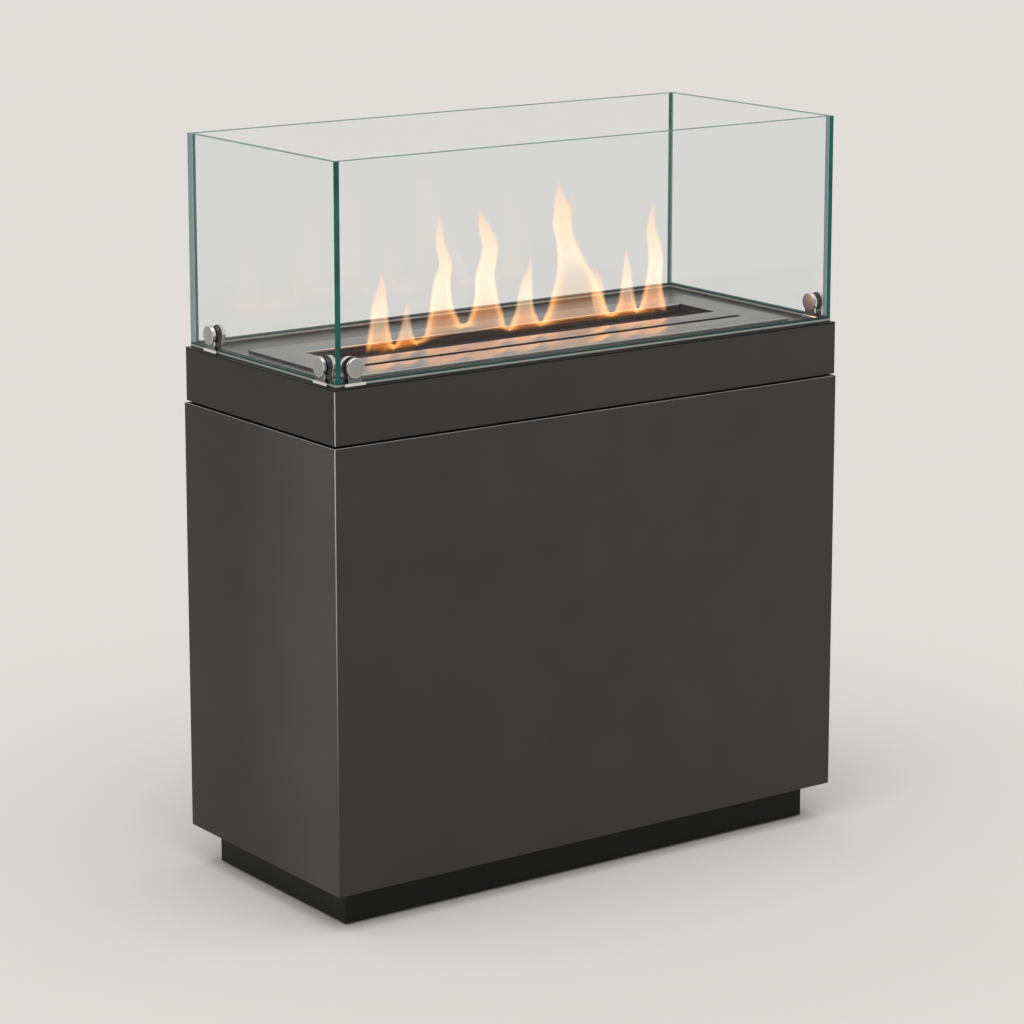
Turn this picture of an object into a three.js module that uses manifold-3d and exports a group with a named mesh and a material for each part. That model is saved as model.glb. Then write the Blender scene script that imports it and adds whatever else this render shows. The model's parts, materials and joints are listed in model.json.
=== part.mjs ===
// A free-standing bioethanol fireplace. A folded steel cabinet stands on a recessed plinth with
// four screw feet. On top of it, over a shadow gap, sits a fascia with a brushed steel ledge. A
// burner with a sliding damper drops into the ledge, and four glass panes held by clamps guard it.
//
// Units are millimetres. +Z is up, the long front faces -Y, and the origin lies on the floor
// under the middle of the cabinet.

import * as THREE from 'three';
import { mergeVertices } from 'three/addons/utils/BufferGeometryUtils.js';
import Module from 'manifold-3d';

const wasm = await Module();
wasm.setup();

// ---------------------------------------------------------------------------
// Driving dimensions
// ---------------------------------------------------------------------------

// Clearance between pieces that slide past, drop into or stand beside each other.
const fit = 0.3;

// How far a cutting shape reaches past the faces that it cuts.
const overcut = 2;

// Cabinet
const bodyWidth = 900;
const bodyDepth = 400;
const bodyHeight = 641;
const sheet = 2;
const foldRadius = 2.5;
const rearRecess = 3;
const postSize = 20;
const postWall = 1.5;
const trayUpstand = 20;
const topFrameFlange = 30;
const topFrameWeb = 25;

// Hat-shaped stiffener behind the front sheet
const stiffenerCrown = 34;
const stiffenerDepth = 18;
const stiffenerBrim = 15;
const stiffenerSheet = 1.5;
const stiffenerEndGap = 12;

// Rear panel: vent slots in two blocks, and three screws a side
const ventLength = 70;
const ventHeight = 3.5;
const ventRowPitch = 12;
const ventColumnPitch = 105;
const ventRows = 4;
const ventColumns = 3;
const ventEdgeDistance = 60;
const screwEndDistance = 45;
const screwRows = 3;
const screwShankRadius = 2.4;
const screwHeadRadius = 4.75;
const screwHeadHeight = 2.5;
const screwCrownRadius = 3.4;
const screwLength = 12;
const screwHoleClearance = 0.4;

// Plinth
const floorGap = 3;
const plinthHeight = 53;
const plinthInset = 30;
const plinthFlange = 30;
const gussetThickness = 3;

// Screw feet, at rest screwed fully in
const footInset = 45;
const footPadRadius = 20;
const footPadHeight = 6;
const footCollarRadius = 8;
const footCollarHeight = 3;
const footStemRadius = 4.85;
const footTravel = 10;
const footChamfer = 1.5;
const threadClearance = 0.35;
const gussetHoleClearance = 0.8;
const gussetMargin = 12;
const nutAcrossFlats = 17;
const nutHeight = 8;

// Shadow gap, fascia and ledge
const shadowGap = 3;
const shadowGapRecess = 8;
const spacerWidth = 18;
const fasciaHeight = 77;
const fasciaInset = 1.5;
const fasciaFlange = 30;
const fasciaLip = 16;
const ledgeThickness = 2;

// Glass guard
const glassThickness = 8;
const glassHeight = 305;
const glassInset = 6;
const sealHeight = 6;

// Glass clamps
const capRadius = 14.5;
const capLength = 5.5;
const capBevel = 0.7;
const jawLength = 6;
const gasketThickness = 0.6;
const gasketRim = 1;
const studRadius = 4;
const studReach = 4.5;
const studHoleClearance = 1.3;
const shoeLength = 34;
const shoeHeight = 5.5;
const shoeBase = 1.7;
const shoeWall = 4;
const legWidth = 22;
const legThickness = 3;
const legReveal = 6.5;
const legLand = 1;
const sideClampCornerGap = 4;
const frontClampCornerGap = 15;
const rearClampInset = 60;

// Burner: cover plate and its borders
const ledgeBorderSide = 34.5;
const ledgeBorderFront = 38.5;
const ledgeBorderRear = 80.5;
const coverThickness = 3.5;
const coverBorderEnd = 58;
const coverBorderRear = 58;
const coverBorderFront = 19;
const coverSeatFront = 8;
const coverSeatSide = 14;
const slotWidth = 12;
const slotSetback = 43;
const slotOverrun = 9;

// Burner: damper, its rails and its lip
const damperThickness = 1.5;
const damperPlay = 0.5;
const damperOverlap = 5;
const lipLength = 60;
const lipThickness = 1.5;
const lipPlay = 0.6;
const railShelf = 8;
const railWeb = 7;
const railShelfThickness = 7;
const railEndDistance = 3;

// Burner: tank, wool, mesh and heat shield
const burnerSheet = 1.5;
const tankMargin = 1;
const tankRimGap = 0.8;
const tankToShield = 9.5;
const meshDepth = 13.3;
const meshThickness = 1;
const meshHoleWidth = 6;
const meshHoleLength = 32;
const meshHolePitch = 16;
const meshHoleRows = 2;
const shieldFlange = 14;
const shieldFloorGap = 3;

// Facets on round shapes
const foldFacets = 2;
const capFacets = 32;
const footFacets = 24;
const smallFacets = 16;

// ---------------------------------------------------------------------------
// Levels and faces worked out from the driving dimensions
// ---------------------------------------------------------------------------

// Levels from the floor up
const plinthBottom = floorGap;
const plinthTop = plinthBottom + plinthHeight;
const trayTop = plinthTop + sheet;
const bodyTop = plinthTop + bodyHeight;
const topFrameBottom = bodyTop - sheet;
const fasciaBottom = bodyTop + shadowGap;
const ledgeBottom = fasciaBottom + fasciaHeight;
const ledgeTop = ledgeBottom + ledgeThickness;
const glassBottom = ledgeTop + sealHeight;
const glassTop = glassBottom + glassHeight;
const coverBottom = ledgeTop + fit;
const coverTop = coverBottom + coverThickness;
const damperTop = coverBottom - damperPlay;
const damperBottom = damperTop - damperThickness;
const railShelfTop = damperBottom - fit;
const railBottom = railShelfTop - railShelfThickness;
const tankTop = damperBottom - tankRimGap;
const meshTop = coverTop - meshDepth;
const meshBottom = meshTop - meshThickness;
const woolTop = meshBottom - fit;
const shieldBottom = fasciaBottom + shieldFloorGap;
const tankBottom = shieldBottom + burnerSheet + tankToShield;

// Cabinet faces: x is half the width, y is half the depth
const bodyX = bodyWidth / 2;
const bodyY = bodyDepth / 2;
const innerX = bodyX - sheet - fit;
const innerFront = -bodyY + sheet + fit;
const rearPanelOuter = bodyY - rearRecess;
const rearPanelInner = rearPanelOuter - sheet;
const innerRear = rearPanelInner - fit;
const postX = innerX - sheet - fit;
const postFront = innerFront + sheet + fit;
const postRear = innerRear - sheet - fit;

// Plinth and feet
const plinthX = bodyX - plinthInset;
const plinthY = bodyY - plinthInset;
const footX = plinthX - footInset;
const footY = plinthY - footInset;
const footTop = footPadHeight + footCollarHeight;
const gussetBottom = footTop + fit;
const nutBottom = gussetBottom + gussetThickness + fit;
const stemTop = nutBottom + nutHeight + footTravel + footCollarHeight;
const nutRadius = nutAcrossFlats / 2 / Math.cos(Math.PI / 6);

// Fascia and glass
const fasciaX = bodyX - fasciaInset;
const fasciaY = bodyY - fasciaInset;
const spacerX = bodyX - shadowGapRecess;
const spacerY = bodyY - shadowGapRecess;
const glassX = fasciaX - glassInset;
const glassY = fasciaY - glassInset;
const glassInnerX = glassX - glassThickness;
const glassInnerY = glassY - glassThickness;

// Cover plate: it fills the ledge between its borders
const coverX = glassInnerX - ledgeBorderSide;
const coverFront = -glassInnerY + ledgeBorderFront;
const coverRear = glassInnerY - ledgeBorderRear;
const openingX = coverX - coverBorderEnd;
const openingRear = coverRear - coverBorderRear;

// The lip moves from the opening's front edge to its rear edge. The damper then reaches past the
// opening by its overlap in front, and it lies against the cover's front border when it is open.
const lipRoom = 2 * lipPlay + lipThickness;
const damperFront = coverFront + coverBorderFront;
const openingDepth = (openingRear - damperFront - damperOverlap + lipRoom) / 2;
const openingFront = openingRear - openingDepth;
const damperRear = openingFront + lipPlay + lipThickness + damperOverlap;
const damperTravel = openingDepth - lipRoom;
const slotRear = openingFront - slotSetback;
const slotX = openingX + slotOverrun;

// Cut-out in the ledge, with the heat shield hanging flush below its edge
const cutoutX = coverX - coverSeatSide;
const cutoutFront = coverFront + coverSeatFront;
const cutoutRear = coverRear - coverSeatSide;

// Tank under the opening, rails beside it
const tankInnerX = openingX + tankMargin;
const tankX = tankInnerX + burnerSheet;
const tankInnerFront = openingFront - tankMargin;
const tankInnerRear = openingRear + tankMargin;
const tankFront = tankInnerFront - burnerSheet;
const tankRear = tankInnerRear + burnerSheet;
const railInnerX = tankX + damperPlay;
const railStepX = railInnerX + railShelf;
const railOuterX = railStepX + railWeb;
const damperX = railStepX - damperPlay;
const railFront = damperFront - railEndDistance;
const railRear = damperRear + damperTravel + railEndDistance;

// Clamps: everything here is measured from the middle plane of the pane, outwards
const paneHalf = glassThickness / 2;
const gripDepth = gasketThickness + 2 * fit;
const gripFace = paneHalf + gripDepth;
const shoeInner = paneHalf + fit;
const shoeOuter = shoeInner + shoeWall;
const clampHeight = shoeHeight + legReveal + capRadius;
const clampLevel = ledgeTop + clampHeight;
const gasketRadius = capRadius - gasketRim;
const studHoleRadius = studRadius + studHoleClearance;
const sideClampInset = glassThickness + gripDepth + jawLength + capRadius + sideClampCornerGap;
const frontClampInset = capRadius + frontClampCornerGap;

// ---------------------------------------------------------------------------
// Helpers
// ---------------------------------------------------------------------------

// A box between its exact limits.
function box(x0, x1, y0, y1, z0, z1) {
  const geometry = new THREE.BoxGeometry(1, 1, 1);
  const corner = geometry.attributes.position;
  for (let i = 0; i < corner.count; i += 1) {
    const x = corner.getX(i) < 0 ? x0 : x1;
    const y = corner.getY(i) < 0 ? y0 : y1;
    const z = corner.getZ(i) < 0 ? z0 : z1;
    corner.setXYZ(i, x, y, z);
  }
  return geometry;
}

// A flat outline raised between two levels.
function prism(shape, z0, z1) {
  const options = { depth: 1, bevelEnabled: false, curveSegments: foldFacets };
  const geometry = new THREE.ExtrudeGeometry(shape, options);
  const corner = geometry.attributes.position;
  for (let i = 0; i < corner.count; i += 1) {
    corner.setZ(i, corner.getZ(i) < 0.5 ? z0 : z1);
  }
  return geometry;
}

// A solid of revolution about Z from [radius, height] pairs, listed from the bottom up.
function turned(profile, facets) {
  const points = profile.map(([radius, height]) => new THREE.Vector2(radius, height));
  return new THREE.LatheGeometry(points, facets).rotateX(Math.PI / 2);
}

// A round bar along Z.
function bar(radius, z0, z1, facets) {
  return turned([[0, z0], [radius, z0], [radius, z1], [0, z1]], facets);
}

// A rectangle with folded corners, as a path around the middle of the cabinet.
function foldedRectangle(x, y0, y1, radius, path) {
  const quarter = Math.PI / 2;
  path.moveTo(-x, y0 + radius);
  path.absarc(-x + radius, y0 + radius, radius, 2 * quarter, 3 * quarter, false);
  path.absarc(x - radius, y0 + radius, radius, 3 * quarter, 4 * quarter, false);
  path.absarc(x - radius, y1 - radius, radius, 0, quarter, false);
  path.absarc(-x + radius, y1 - radius, radius, quarter, 2 * quarter, false);
  path.closePath();
  return path;
}

// A plain rectangle as a path.
function rectangle(x0, x1, y0, y1, path) {
  path.moveTo(x0, y0);
  path.lineTo(x1, y0);
  path.lineTo(x1, y1);
  path.lineTo(x0, y1);
  path.closePath();
  return path;
}

// A flat ring between an outer outline and a hole.
function ring(outer, hole, z0, z1) {
  outer.holes.push(hole);
  return prism(outer, z0, z1);
}

// A geometry as a solid that can be joined and cut.
function solid(geometry) {
  const bare = geometry.clone();
  bare.deleteAttribute('normal');
  bare.deleteAttribute('uv');
  const merged = mergeVertices(bare, 1e-5);
  const index = merged.index.array;
  const kept = [];
  for (let i = 0; i < index.length; i += 3) {
    const [a, b, c] = [index[i], index[i + 1], index[i + 2]];
    if (a !== b && b !== c && c !== a) kept.push(a, b, c);
  }
  const vertProperties = new Float32Array(merged.attributes.position.array);
  const triVerts = new Uint32Array(kept);
  return new wasm.Manifold(new wasm.Mesh({ numProp: 3, vertProperties, triVerts }));
}

function geometryOf(body) {
  const mesh = body.getMesh();
  const geometry = new THREE.BufferGeometry();
  const position = new THREE.BufferAttribute(new Float32Array(mesh.vertProperties), 3);
  geometry.setAttribute('position', position);
  geometry.setIndex(new THREE.BufferAttribute(new Uint32Array(mesh.triVerts), 1));
  geometry.computeVertexNormals();
  return geometry;
}

function join(...geometries) {
  return geometryOf(geometries.map(solid).reduce((sum, next) => sum.add(next)));
}

function cut(geometry, holes) {
  return geometryOf(holes.map(solid).reduce((rest, hole) => rest.subtract(hole), solid(geometry)));
}

// ---------------------------------------------------------------------------
// Finishes
// ---------------------------------------------------------------------------

function finish(color, roughness, metalness, extra = {}) {
  return new THREE.MeshStandardMaterial({ color, roughness, metalness, ...extra });
}

const finishes = {
  cabinetCoat: finish('#3f3f40', 0.55, 0.3),
  fasciaCoat: finish('#3a3a3b', 0.5, 0.3),
  plinthCoat: finish('#232323', 0.6, 0.2),
  zincSteel: finish('#8d8f90', 0.45, 0.9),
  ledgeSteel: finish('#8b8c8b', 0.42, 0.85),
  coverSteel: finish('#a3a4a3', 0.32, 0.95),
  burnerSteel: finish('#7d7771', 0.4, 0.9),
  meshSteel: finish('#3a3c44', 0.5, 0.8),
  ceramicWool: finish('#d9d4c8', 0.95, 0),
  glass: finish('#cfe6df', 0.05, 0, { transparent: true, opacity: 0.3 }),
  seal: finish('#c9cfca', 0.6, 0),
  chrome: finish('#c4c2bf', 0.14, 1),
  blackRubber: finish('#131414', 0.7, 0),
  footSteel: finish('#4a4a4b', 0.45, 0.8),
};

// ---------------------------------------------------------------------------
// Assembly
// ---------------------------------------------------------------------------

const fireplace = new THREE.Group();

function place(name, geometry, material, parent = fireplace) {
  const mesh = new THREE.Mesh(geometry, material);
  mesh.name = name;
  parent.add(mesh);
  return mesh;
}

// A group at a place on the cabinet, turned about Z.
function station(x, y, z, turn = 0) {
  const group = new THREE.Group();
  group.position.set(x, y, z);
  group.rotation.z = turn;
  fireplace.add(group);
  return group;
}

// --- Plinth and feet ---

const feet = [
  { name: 'front_left', x: -footX, y: -footY },
  { name: 'front_right', x: footX, y: -footY },
  { name: 'rear_left', x: -footX, y: footY },
  { name: 'rear_right', x: footX, y: footY },
];

// A recessed skirt with a flange at its top and a gusset for a foot in each corner.
function plinthFrame() {
  const wallX = plinthX - sheet;
  const wallY = plinthY - sheet;
  const skirt = ring(
    foldedRectangle(plinthX, -plinthY, plinthY, foldRadius, new THREE.Shape()),
    rectangle(-wallX, wallX, -wallY, wallY, new THREE.Path()),
    plinthBottom,
    plinthTop,
  );
  const holeX = plinthX - plinthFlange;
  const holeY = plinthY - plinthFlange;
  const flange = ring(
    foldedRectangle(plinthX, -plinthY, plinthY, foldRadius, new THREE.Shape()),
    rectangle(-holeX, holeX, -holeY, holeY, new THREE.Path()),
    plinthTop - sheet,
    plinthTop,
  );
  const reach = nutRadius + gussetMargin;
  const hole = bar(footStemRadius + gussetHoleClearance, 0, plinthTop, smallFacets);
  const gussets = feet.map(({ x, y }) => box(
    x < 0 ? -wallX - sheet / 2 : x - reach,
    x < 0 ? x + reach : wallX + sheet / 2,
    y < 0 ? -wallY - sheet / 2 : y - reach,
    y < 0 ? y + reach : wallY + sheet / 2,
    gussetBottom,
    gussetBottom + gussetThickness,
  ));
  return cut(join(skirt, flange, ...gussets), feet.map(({ x, y }) => hole.clone().translate(x, y, 0)));
}

// A round pad with a collar and a threaded stem, drawn at the thread's outer radius.
function foot() {
  return turned([
    [0, 0],
    [footPadRadius - footChamfer, 0],
    [footPadRadius, footChamfer],
    [footPadRadius, footPadHeight - footChamfer],
    [footPadRadius - footChamfer, footPadHeight],
    [footCollarRadius, footPadHeight],
    [footCollarRadius, footTop],
    [footStemRadius, footTop],
    [footStemRadius, stemTop],
    [0, stemTop],
  ], footFacets);
}

function footNut() {
  const hexagon = bar(nutRadius, nutBottom, nutBottom + nutHeight, 6);
  return cut(hexagon, [bar(footStemRadius + threadClearance, 0, stemTop, footFacets)]);
}

place('plinth_frame', plinthFrame(), finishes.plinthCoat);
for (const { name, x, y } of feet) {
  const corner = station(x, y, 0);
  place(`foot_${name}`, foot(), finishes.footSteel, corner);
  place(`foot_nut_${name}`, footNut(), finishes.zincSteel, corner);
}

// --- Cabinet ---

// Front and two sides in one folded sheet, open at the back.
function bodyShell() {
  const wallX = bodyX - sheet;
  const wallFront = -bodyY + sheet;
  const bend = Math.max(foldRadius - sheet, 0);
  const quarter = Math.PI / 2;
  const outline = new THREE.Shape();
  outline.moveTo(-bodyX, bodyY);
  outline.lineTo(-bodyX, -bodyY + foldRadius);
  outline.absarc(-bodyX + foldRadius, -bodyY + foldRadius, foldRadius, 2 * quarter, 3 * quarter, false);
  outline.absarc(bodyX - foldRadius, -bodyY + foldRadius, foldRadius, 3 * quarter, 4 * quarter, false);
  outline.lineTo(bodyX, bodyY);
  outline.lineTo(wallX, bodyY);
  outline.lineTo(wallX, wallFront + bend);
  outline.lineTo(wallX - bend, wallFront);
  outline.lineTo(-wallX + bend, wallFront);
  outline.lineTo(-wallX, wallFront + bend);
  outline.lineTo(-wallX, bodyY);
  outline.closePath();
  return prism(outline, plinthTop, bodyTop);
}

// A shallow tray that closes the cabinet below and ties the posts together.
function bodyFloor() {
  const tray = box(-innerX, innerX, innerFront, innerRear, plinthTop, trayTop + trayUpstand);
  const hollow = box(
    -innerX + sheet,
    innerX - sheet,
    innerFront + sheet,
    innerRear - sheet,
    trayTop,
    trayTop + trayUpstand + overcut,
  );
  return cut(tray, [hollow]);
}

// An angle ring that ties the posts together at the top and carries the fascia.
function topFrame() {
  const flange = ring(
    rectangle(-innerX, innerX, innerFront, innerRear, new THREE.Shape()),
    rectangle(
      -innerX + topFrameFlange,
      innerX - topFrameFlange,
      innerFront + topFrameFlange,
      innerRear - topFrameFlange,
      new THREE.Path(),
    ),
    topFrameBottom,
    bodyTop,
  );
  const web = ring(
    rectangle(-innerX, innerX, innerFront, innerRear, new THREE.Shape()),
    rectangle(-innerX + sheet, innerX - sheet, innerFront + sheet, innerRear - sheet, new THREE.Path()),
    topFrameBottom - topFrameWeb,
    bodyTop,
  );
  return join(flange, web);
}

const screwLevels = [];
for (let row = 0; row < screwRows; row += 1) {
  const low = plinthTop + screwEndDistance;
  const high = bodyTop - screwEndDistance;
  screwLevels.push(low + ((high - low) * row) / (screwRows - 1));
}
const screwX = postX - postSize / 2;
const screwHoleRadius = screwShankRadius + screwHoleClearance;

// A hole along Y through the rear panel or a post.
function screwHole(x, z, y0, y1) {
  return bar(screwHoleRadius, -y1, -y0, smallFacets).rotateX(Math.PI / 2).translate(x, 0, z);
}

// A square tube from the tray up to the top frame.
function cornerPost(side, atRear) {
  const x0 = side < 0 ? -postX : postX - postSize;
  const x1 = x0 + postSize;
  const y0 = atRear ? postRear - postSize : postFront;
  const y1 = y0 + postSize;
  const tube = ring(
    rectangle(x0, x1, y0, y1, new THREE.Shape()),
    rectangle(x0 + postWall, x1 - postWall, y0 + postWall, y1 - postWall, new THREE.Path()),
    trayTop,
    topFrameBottom,
  );
  if (!atRear) return tube;
  return cut(tube, screwLevels.map((z) => screwHole(side * screwX, z, y0 + postSize / 2, y1 + overcut)));
}

// A hat section that stops the wide front sheet from drumming.
function frontStiffener() {
  const seat = -bodyY + sheet;
  const crown = stiffenerCrown / 2;
  const brim = crown + stiffenerBrim;
  const wall = stiffenerSheet;
  const hat = new THREE.Shape();
  hat.moveTo(-brim, seat);
  hat.lineTo(-crown + wall, seat);
  hat.lineTo(-crown + wall, seat + stiffenerDepth - wall);
  hat.lineTo(crown - wall, seat + stiffenerDepth - wall);
  hat.lineTo(crown - wall, seat);
  hat.lineTo(brim, seat);
  hat.lineTo(brim, seat + wall);
  hat.lineTo(crown, seat + wall);
  hat.lineTo(crown, seat + stiffenerDepth);
  hat.lineTo(-crown, seat + stiffenerDepth);
  hat.lineTo(-crown, seat + wall);
  hat.lineTo(-brim, seat + wall);
  hat.closePath();
  const bottom = trayTop + trayUpstand + stiffenerEndGap;
  return prism(hat, bottom, topFrameBottom - topFrameWeb - stiffenerEndGap);
}

// A flat panel set back between the sides, with two blocks of vent slots.
function rearPanel() {
  const panel = box(-innerX, innerX, rearPanelInner, rearPanelOuter, plinthTop, bodyTop);
  const holes = [];
  for (const side of [-1, 1]) {
    for (const z of screwLevels) {
      holes.push(screwHole(side * screwX, z, rearPanelInner - overcut, rearPanelOuter + overcut));
    }
  }
  const blockHeight = (ventRows - 1) * ventRowPitch + ventHeight;
  const blocks = [plinthTop + ventEdgeDistance, bodyTop - ventEdgeDistance - blockHeight];
  for (const blockBottom of blocks) {
    for (let row = 0; row < ventRows; row += 1) {
      for (let column = 0; column < ventColumns; column += 1) {
        const x = (column - (ventColumns - 1) / 2) * ventColumnPitch;
        const z = blockBottom + row * ventRowPitch;
        holes.push(box(
          x - ventLength / 2,
          x + ventLength / 2,
          rearPanelInner - overcut,
          rearPanelOuter + overcut,
          z,
          z + ventHeight,
        ));
      }
    }
  }
  return cut(panel, holes);
}

// A pan-head screw pointing along -Y, with its seat at the origin.
function rearScrew() {
  return turned([
    [0, -screwLength],
    [screwShankRadius, -screwLength],
    [screwShankRadius, 0],
    [screwHeadRadius, 0],
    [screwHeadRadius, screwHeadHeight / 2],
    [screwCrownRadius, screwHeadHeight],
    [0, screwHeadHeight],
  ], smallFacets).rotateX(-Math.PI / 2);
}

place('body_shell', bodyShell(), finishes.cabinetCoat);
place('body_floor', bodyFloor(), finishes.zincSteel);
place('top_frame', topFrame(), finishes.plinthCoat);
place('post_front_left', cornerPost(-1, false), finishes.zincSteel);
place('post_front_right', cornerPost(1, false), finishes.zincSteel);
place('post_rear_left', cornerPost(-1, true), finishes.zincSteel);
place('post_rear_right', cornerPost(1, true), finishes.zincSteel);
place('front_stiffener', frontStiffener(), finishes.zincSteel);
place('rear_panel', rearPanel(), finishes.cabinetCoat);
for (const [side, sideName] of [[-1, 'left'], [1, 'right']]) {
  screwLevels.forEach((z, row) => {
    const seat = station(side * screwX, rearPanelOuter + fit / 2, z);
    place(`rear_screw_${sideName}_${row + 1}`, rearScrew(), finishes.footSteel, seat);
  });
}

// --- Shadow gap, fascia and ledge ---

// A recessed ring that holds the fascia off the cabinet.
function gapSpacer() {
  return ring(
    rectangle(-spacerX, spacerX, -spacerY, spacerY, new THREE.Shape()),
    rectangle(
      -spacerX + spacerWidth,
      spacerX - spacerWidth,
      -spacerY + spacerWidth,
      spacerY - spacerWidth,
      new THREE.Path(),
    ),
    bodyTop,
    fasciaBottom,
  );
}

// A folded apron with a flange below and a lip above.
function fasciaFrame() {
  const level = (inset, z0, z1) => ring(
    foldedRectangle(fasciaX, -fasciaY, fasciaY, foldRadius, new THREE.Shape()),
    rectangle(-fasciaX + inset, fasciaX - inset, -fasciaY + inset, fasciaY - inset, new THREE.Path()),
    z0,
    z1,
  );
  return join(
    level(fasciaFlange, fasciaBottom, fasciaBottom + sheet),
    level(sheet, fasciaBottom, ledgeBottom),
    level(fasciaLip, ledgeBottom - sheet, ledgeBottom),
  );
}

// The brushed plate around the burner.
function ledgePlate() {
  return ring(
    foldedRectangle(fasciaX, -fasciaY, fasciaY, foldRadius, new THREE.Shape()),
    rectangle(-cutoutX, cutoutX, cutoutFront, cutoutRear, new THREE.Path()),
    ledgeBottom,
    ledgeTop,
  );
}

// An open box that hangs under the ledge and keeps the burner's heat off the casing.
function heatShield() {
  const wallX = cutoutX + burnerSheet;
  const wallFront = cutoutFront - burnerSheet;
  const wallRear = cutoutRear + burnerSheet;
  const flange = box(
    -wallX - shieldFlange,
    wallX + shieldFlange,
    wallFront - shieldFlange,
    wallRear + shieldFlange,
    ledgeBottom - burnerSheet,
    ledgeBottom,
  );
  const walls = box(-wallX, wallX, wallFront, wallRear, shieldBottom, ledgeBottom);
  const hollow = box(
    -cutoutX,
    cutoutX,
    cutoutFront,
    cutoutRear,
    shieldBottom + burnerSheet,
    ledgeTop,
  );
  return cut(join(flange, walls), [hollow]);
}

place('shadow_gap_spacer', gapSpacer(), finishes.plinthCoat);
place('fascia_frame', fasciaFrame(), finishes.fasciaCoat);
place('ledge_plate', ledgePlate(), finishes.ledgeSteel);
place('heat_shield', heatShield(), finishes.burnerSteel);

// --- Burner ---

// The raised plate with the flame opening and an air slot in front of it.
function coverPlate() {
  const plate = box(-coverX, coverX, coverFront, coverRear, coverBottom, coverTop);
  const [below, above] = [coverBottom - overcut, coverTop + overcut];
  const opening = box(-openingX, openingX, openingFront, openingRear, below, above);
  const slot = box(-slotX, slotX, slotRear - slotWidth, slotRear, below, above);
  return cut(plate, [opening, slot]);
}

// A stepped rail under the cover's end. The damper's edge runs on its shelf.
function damperRail(side) {
  const across = (x0, x1) => [Math.min(side * x0, side * x1), Math.max(side * x0, side * x1)];
  const shelf = box(...across(railInnerX, railOuterX), railFront, railRear, railBottom, railShelfTop);
  const web = box(...across(railStepX, railOuterX), railFront, railRear, railBottom, coverBottom);
  return join(shelf, web);
}

// A sliding plate with a low lip to push it by, here fully open.
function damper() {
  const plate = box(-damperX, damperX, damperFront, damperRear, damperBottom, damperTop);
  const lipFront = openingFront + lipPlay;
  const lip = box(
    -lipLength / 2,
    lipLength / 2,
    lipFront,
    lipFront + lipThickness,
    damperBottom,
    coverTop - fit,
  );
  return join(plate, lip);
}

// A deep open box with a flange at each end, screwed up under the rails.
function fuelTank() {
  const flange = box(-railOuterX, railOuterX, tankFront, tankRear, railBottom - burnerSheet, railBottom);
  const walls = box(-tankX, tankX, tankFront, tankRear, tankBottom, tankTop);
  const hollow = box(
    -tankInnerX,
    tankInnerX,
    tankInnerFront,
    tankInnerRear,
    tankBottom + burnerSheet,
    coverTop,
  );
  return cut(join(flange, walls), [hollow]);
}

// The absorbent block that holds the fuel.
function ceramicWool() {
  return box(
    -tankInnerX + fit,
    tankInnerX - fit,
    tankInnerFront + fit,
    tankInnerRear - fit,
    tankBottom + burnerSheet + fit,
    woolTop,
  );
}

// A slotted plate that keeps the wool down.
function burnerMesh() {
  const x = tankInnerX - fit;
  const front = tankInnerFront + fit;
  const rear = tankInnerRear - fit;
  const plate = box(-x, x, front, rear, meshBottom, meshTop);
  const columns = Math.floor((2 * x - meshHoleWidth) / meshHolePitch);
  const rowPitch = (rear - front) / meshHoleRows;
  const length = Math.min(meshHoleLength, rowPitch - meshHoleWidth);
  const holes = [];
  for (let column = 0; column < columns; column += 1) {
    const middle = (column - (columns - 1) / 2) * meshHolePitch;
    for (let row = 0; row < meshHoleRows; row += 1) {
      const y = front + (row + 0.5) * rowPitch;
      holes.push(box(
        middle - meshHoleWidth / 2,
        middle + meshHoleWidth / 2,
        y - length / 2,
        y + length / 2,
        meshBottom - overcut,
        meshTop + overcut,
      ));
    }
  }
  return cut(plate, holes);
}

place('cover_plate', coverPlate(), finishes.coverSteel);
place('damper_rail_left', damperRail(-1), finishes.burnerSteel);
place('damper_rail_right', damperRail(1), finishes.burnerSteel);
place('damper', damper(), finishes.burnerSteel);
place('fuel_tank', fuelTank(), finishes.burnerSteel);
place('ceramic_wool', ceramicWool(), finishes.ceramicWool);
place('burner_mesh', burnerMesh(), finishes.meshSteel);

// --- Glass guard ---

// Each clamp stands at a place on a pane, with turn giving the pane's outward side from +X.
const clamps = [
  {
    name: 'left_front',
    pane: 'left',
    x: -glassX + paneHalf,
    y: -glassY + sideClampInset,
    turn: Math.PI,
  },
  {
    name: 'left_rear',
    pane: 'left',
    x: -glassX + paneHalf,
    y: glassY - rearClampInset,
    turn: Math.PI,
  },
  {
    name: 'right_front',
    pane: 'right',
    x: glassX - paneHalf,
    y: -glassY + sideClampInset,
    turn: 0,
  },
  {
    name: 'front_left',
    pane: 'front',
    x: -glassX + frontClampInset,
    y: -glassY + paneHalf,
    turn: -Math.PI / 2,
  },
];

// The side panes run the full depth, and the front and back panes stand between them.
const panes = [
  { name: 'front', x0: -glassInnerX + fit, x1: glassInnerX - fit, y0: -glassY, y1: -glassInnerY },
  { name: 'back', x0: -glassInnerX + fit, x1: glassInnerX - fit, y0: glassInnerY, y1: glassY },
  { name: 'left', x0: -glassX, x1: -glassInnerX, y0: -glassY, y1: glassY },
  { name: 'right', x0: glassInnerX, x1: glassX, y0: -glassY, y1: glassY },
];

// A pane with a hole for each clamp's stud.
function glassPane({ name, x0, x1, y0, y1 }) {
  const pane = box(x0, x1, y0, y1, glassBottom, glassTop);
  const holes = clamps.filter((clamp) => clamp.pane === name).map(({ x, y, turn }) => (
    bar(studHoleRadius, -paneHalf - overcut, paneHalf + overcut, footFacets)
      .rotateY(Math.PI / 2)
      .rotateZ(turn)
      .translate(x, y, clampLevel)
  ));
  return holes.length > 0 ? cut(pane, holes) : pane;
}

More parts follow.
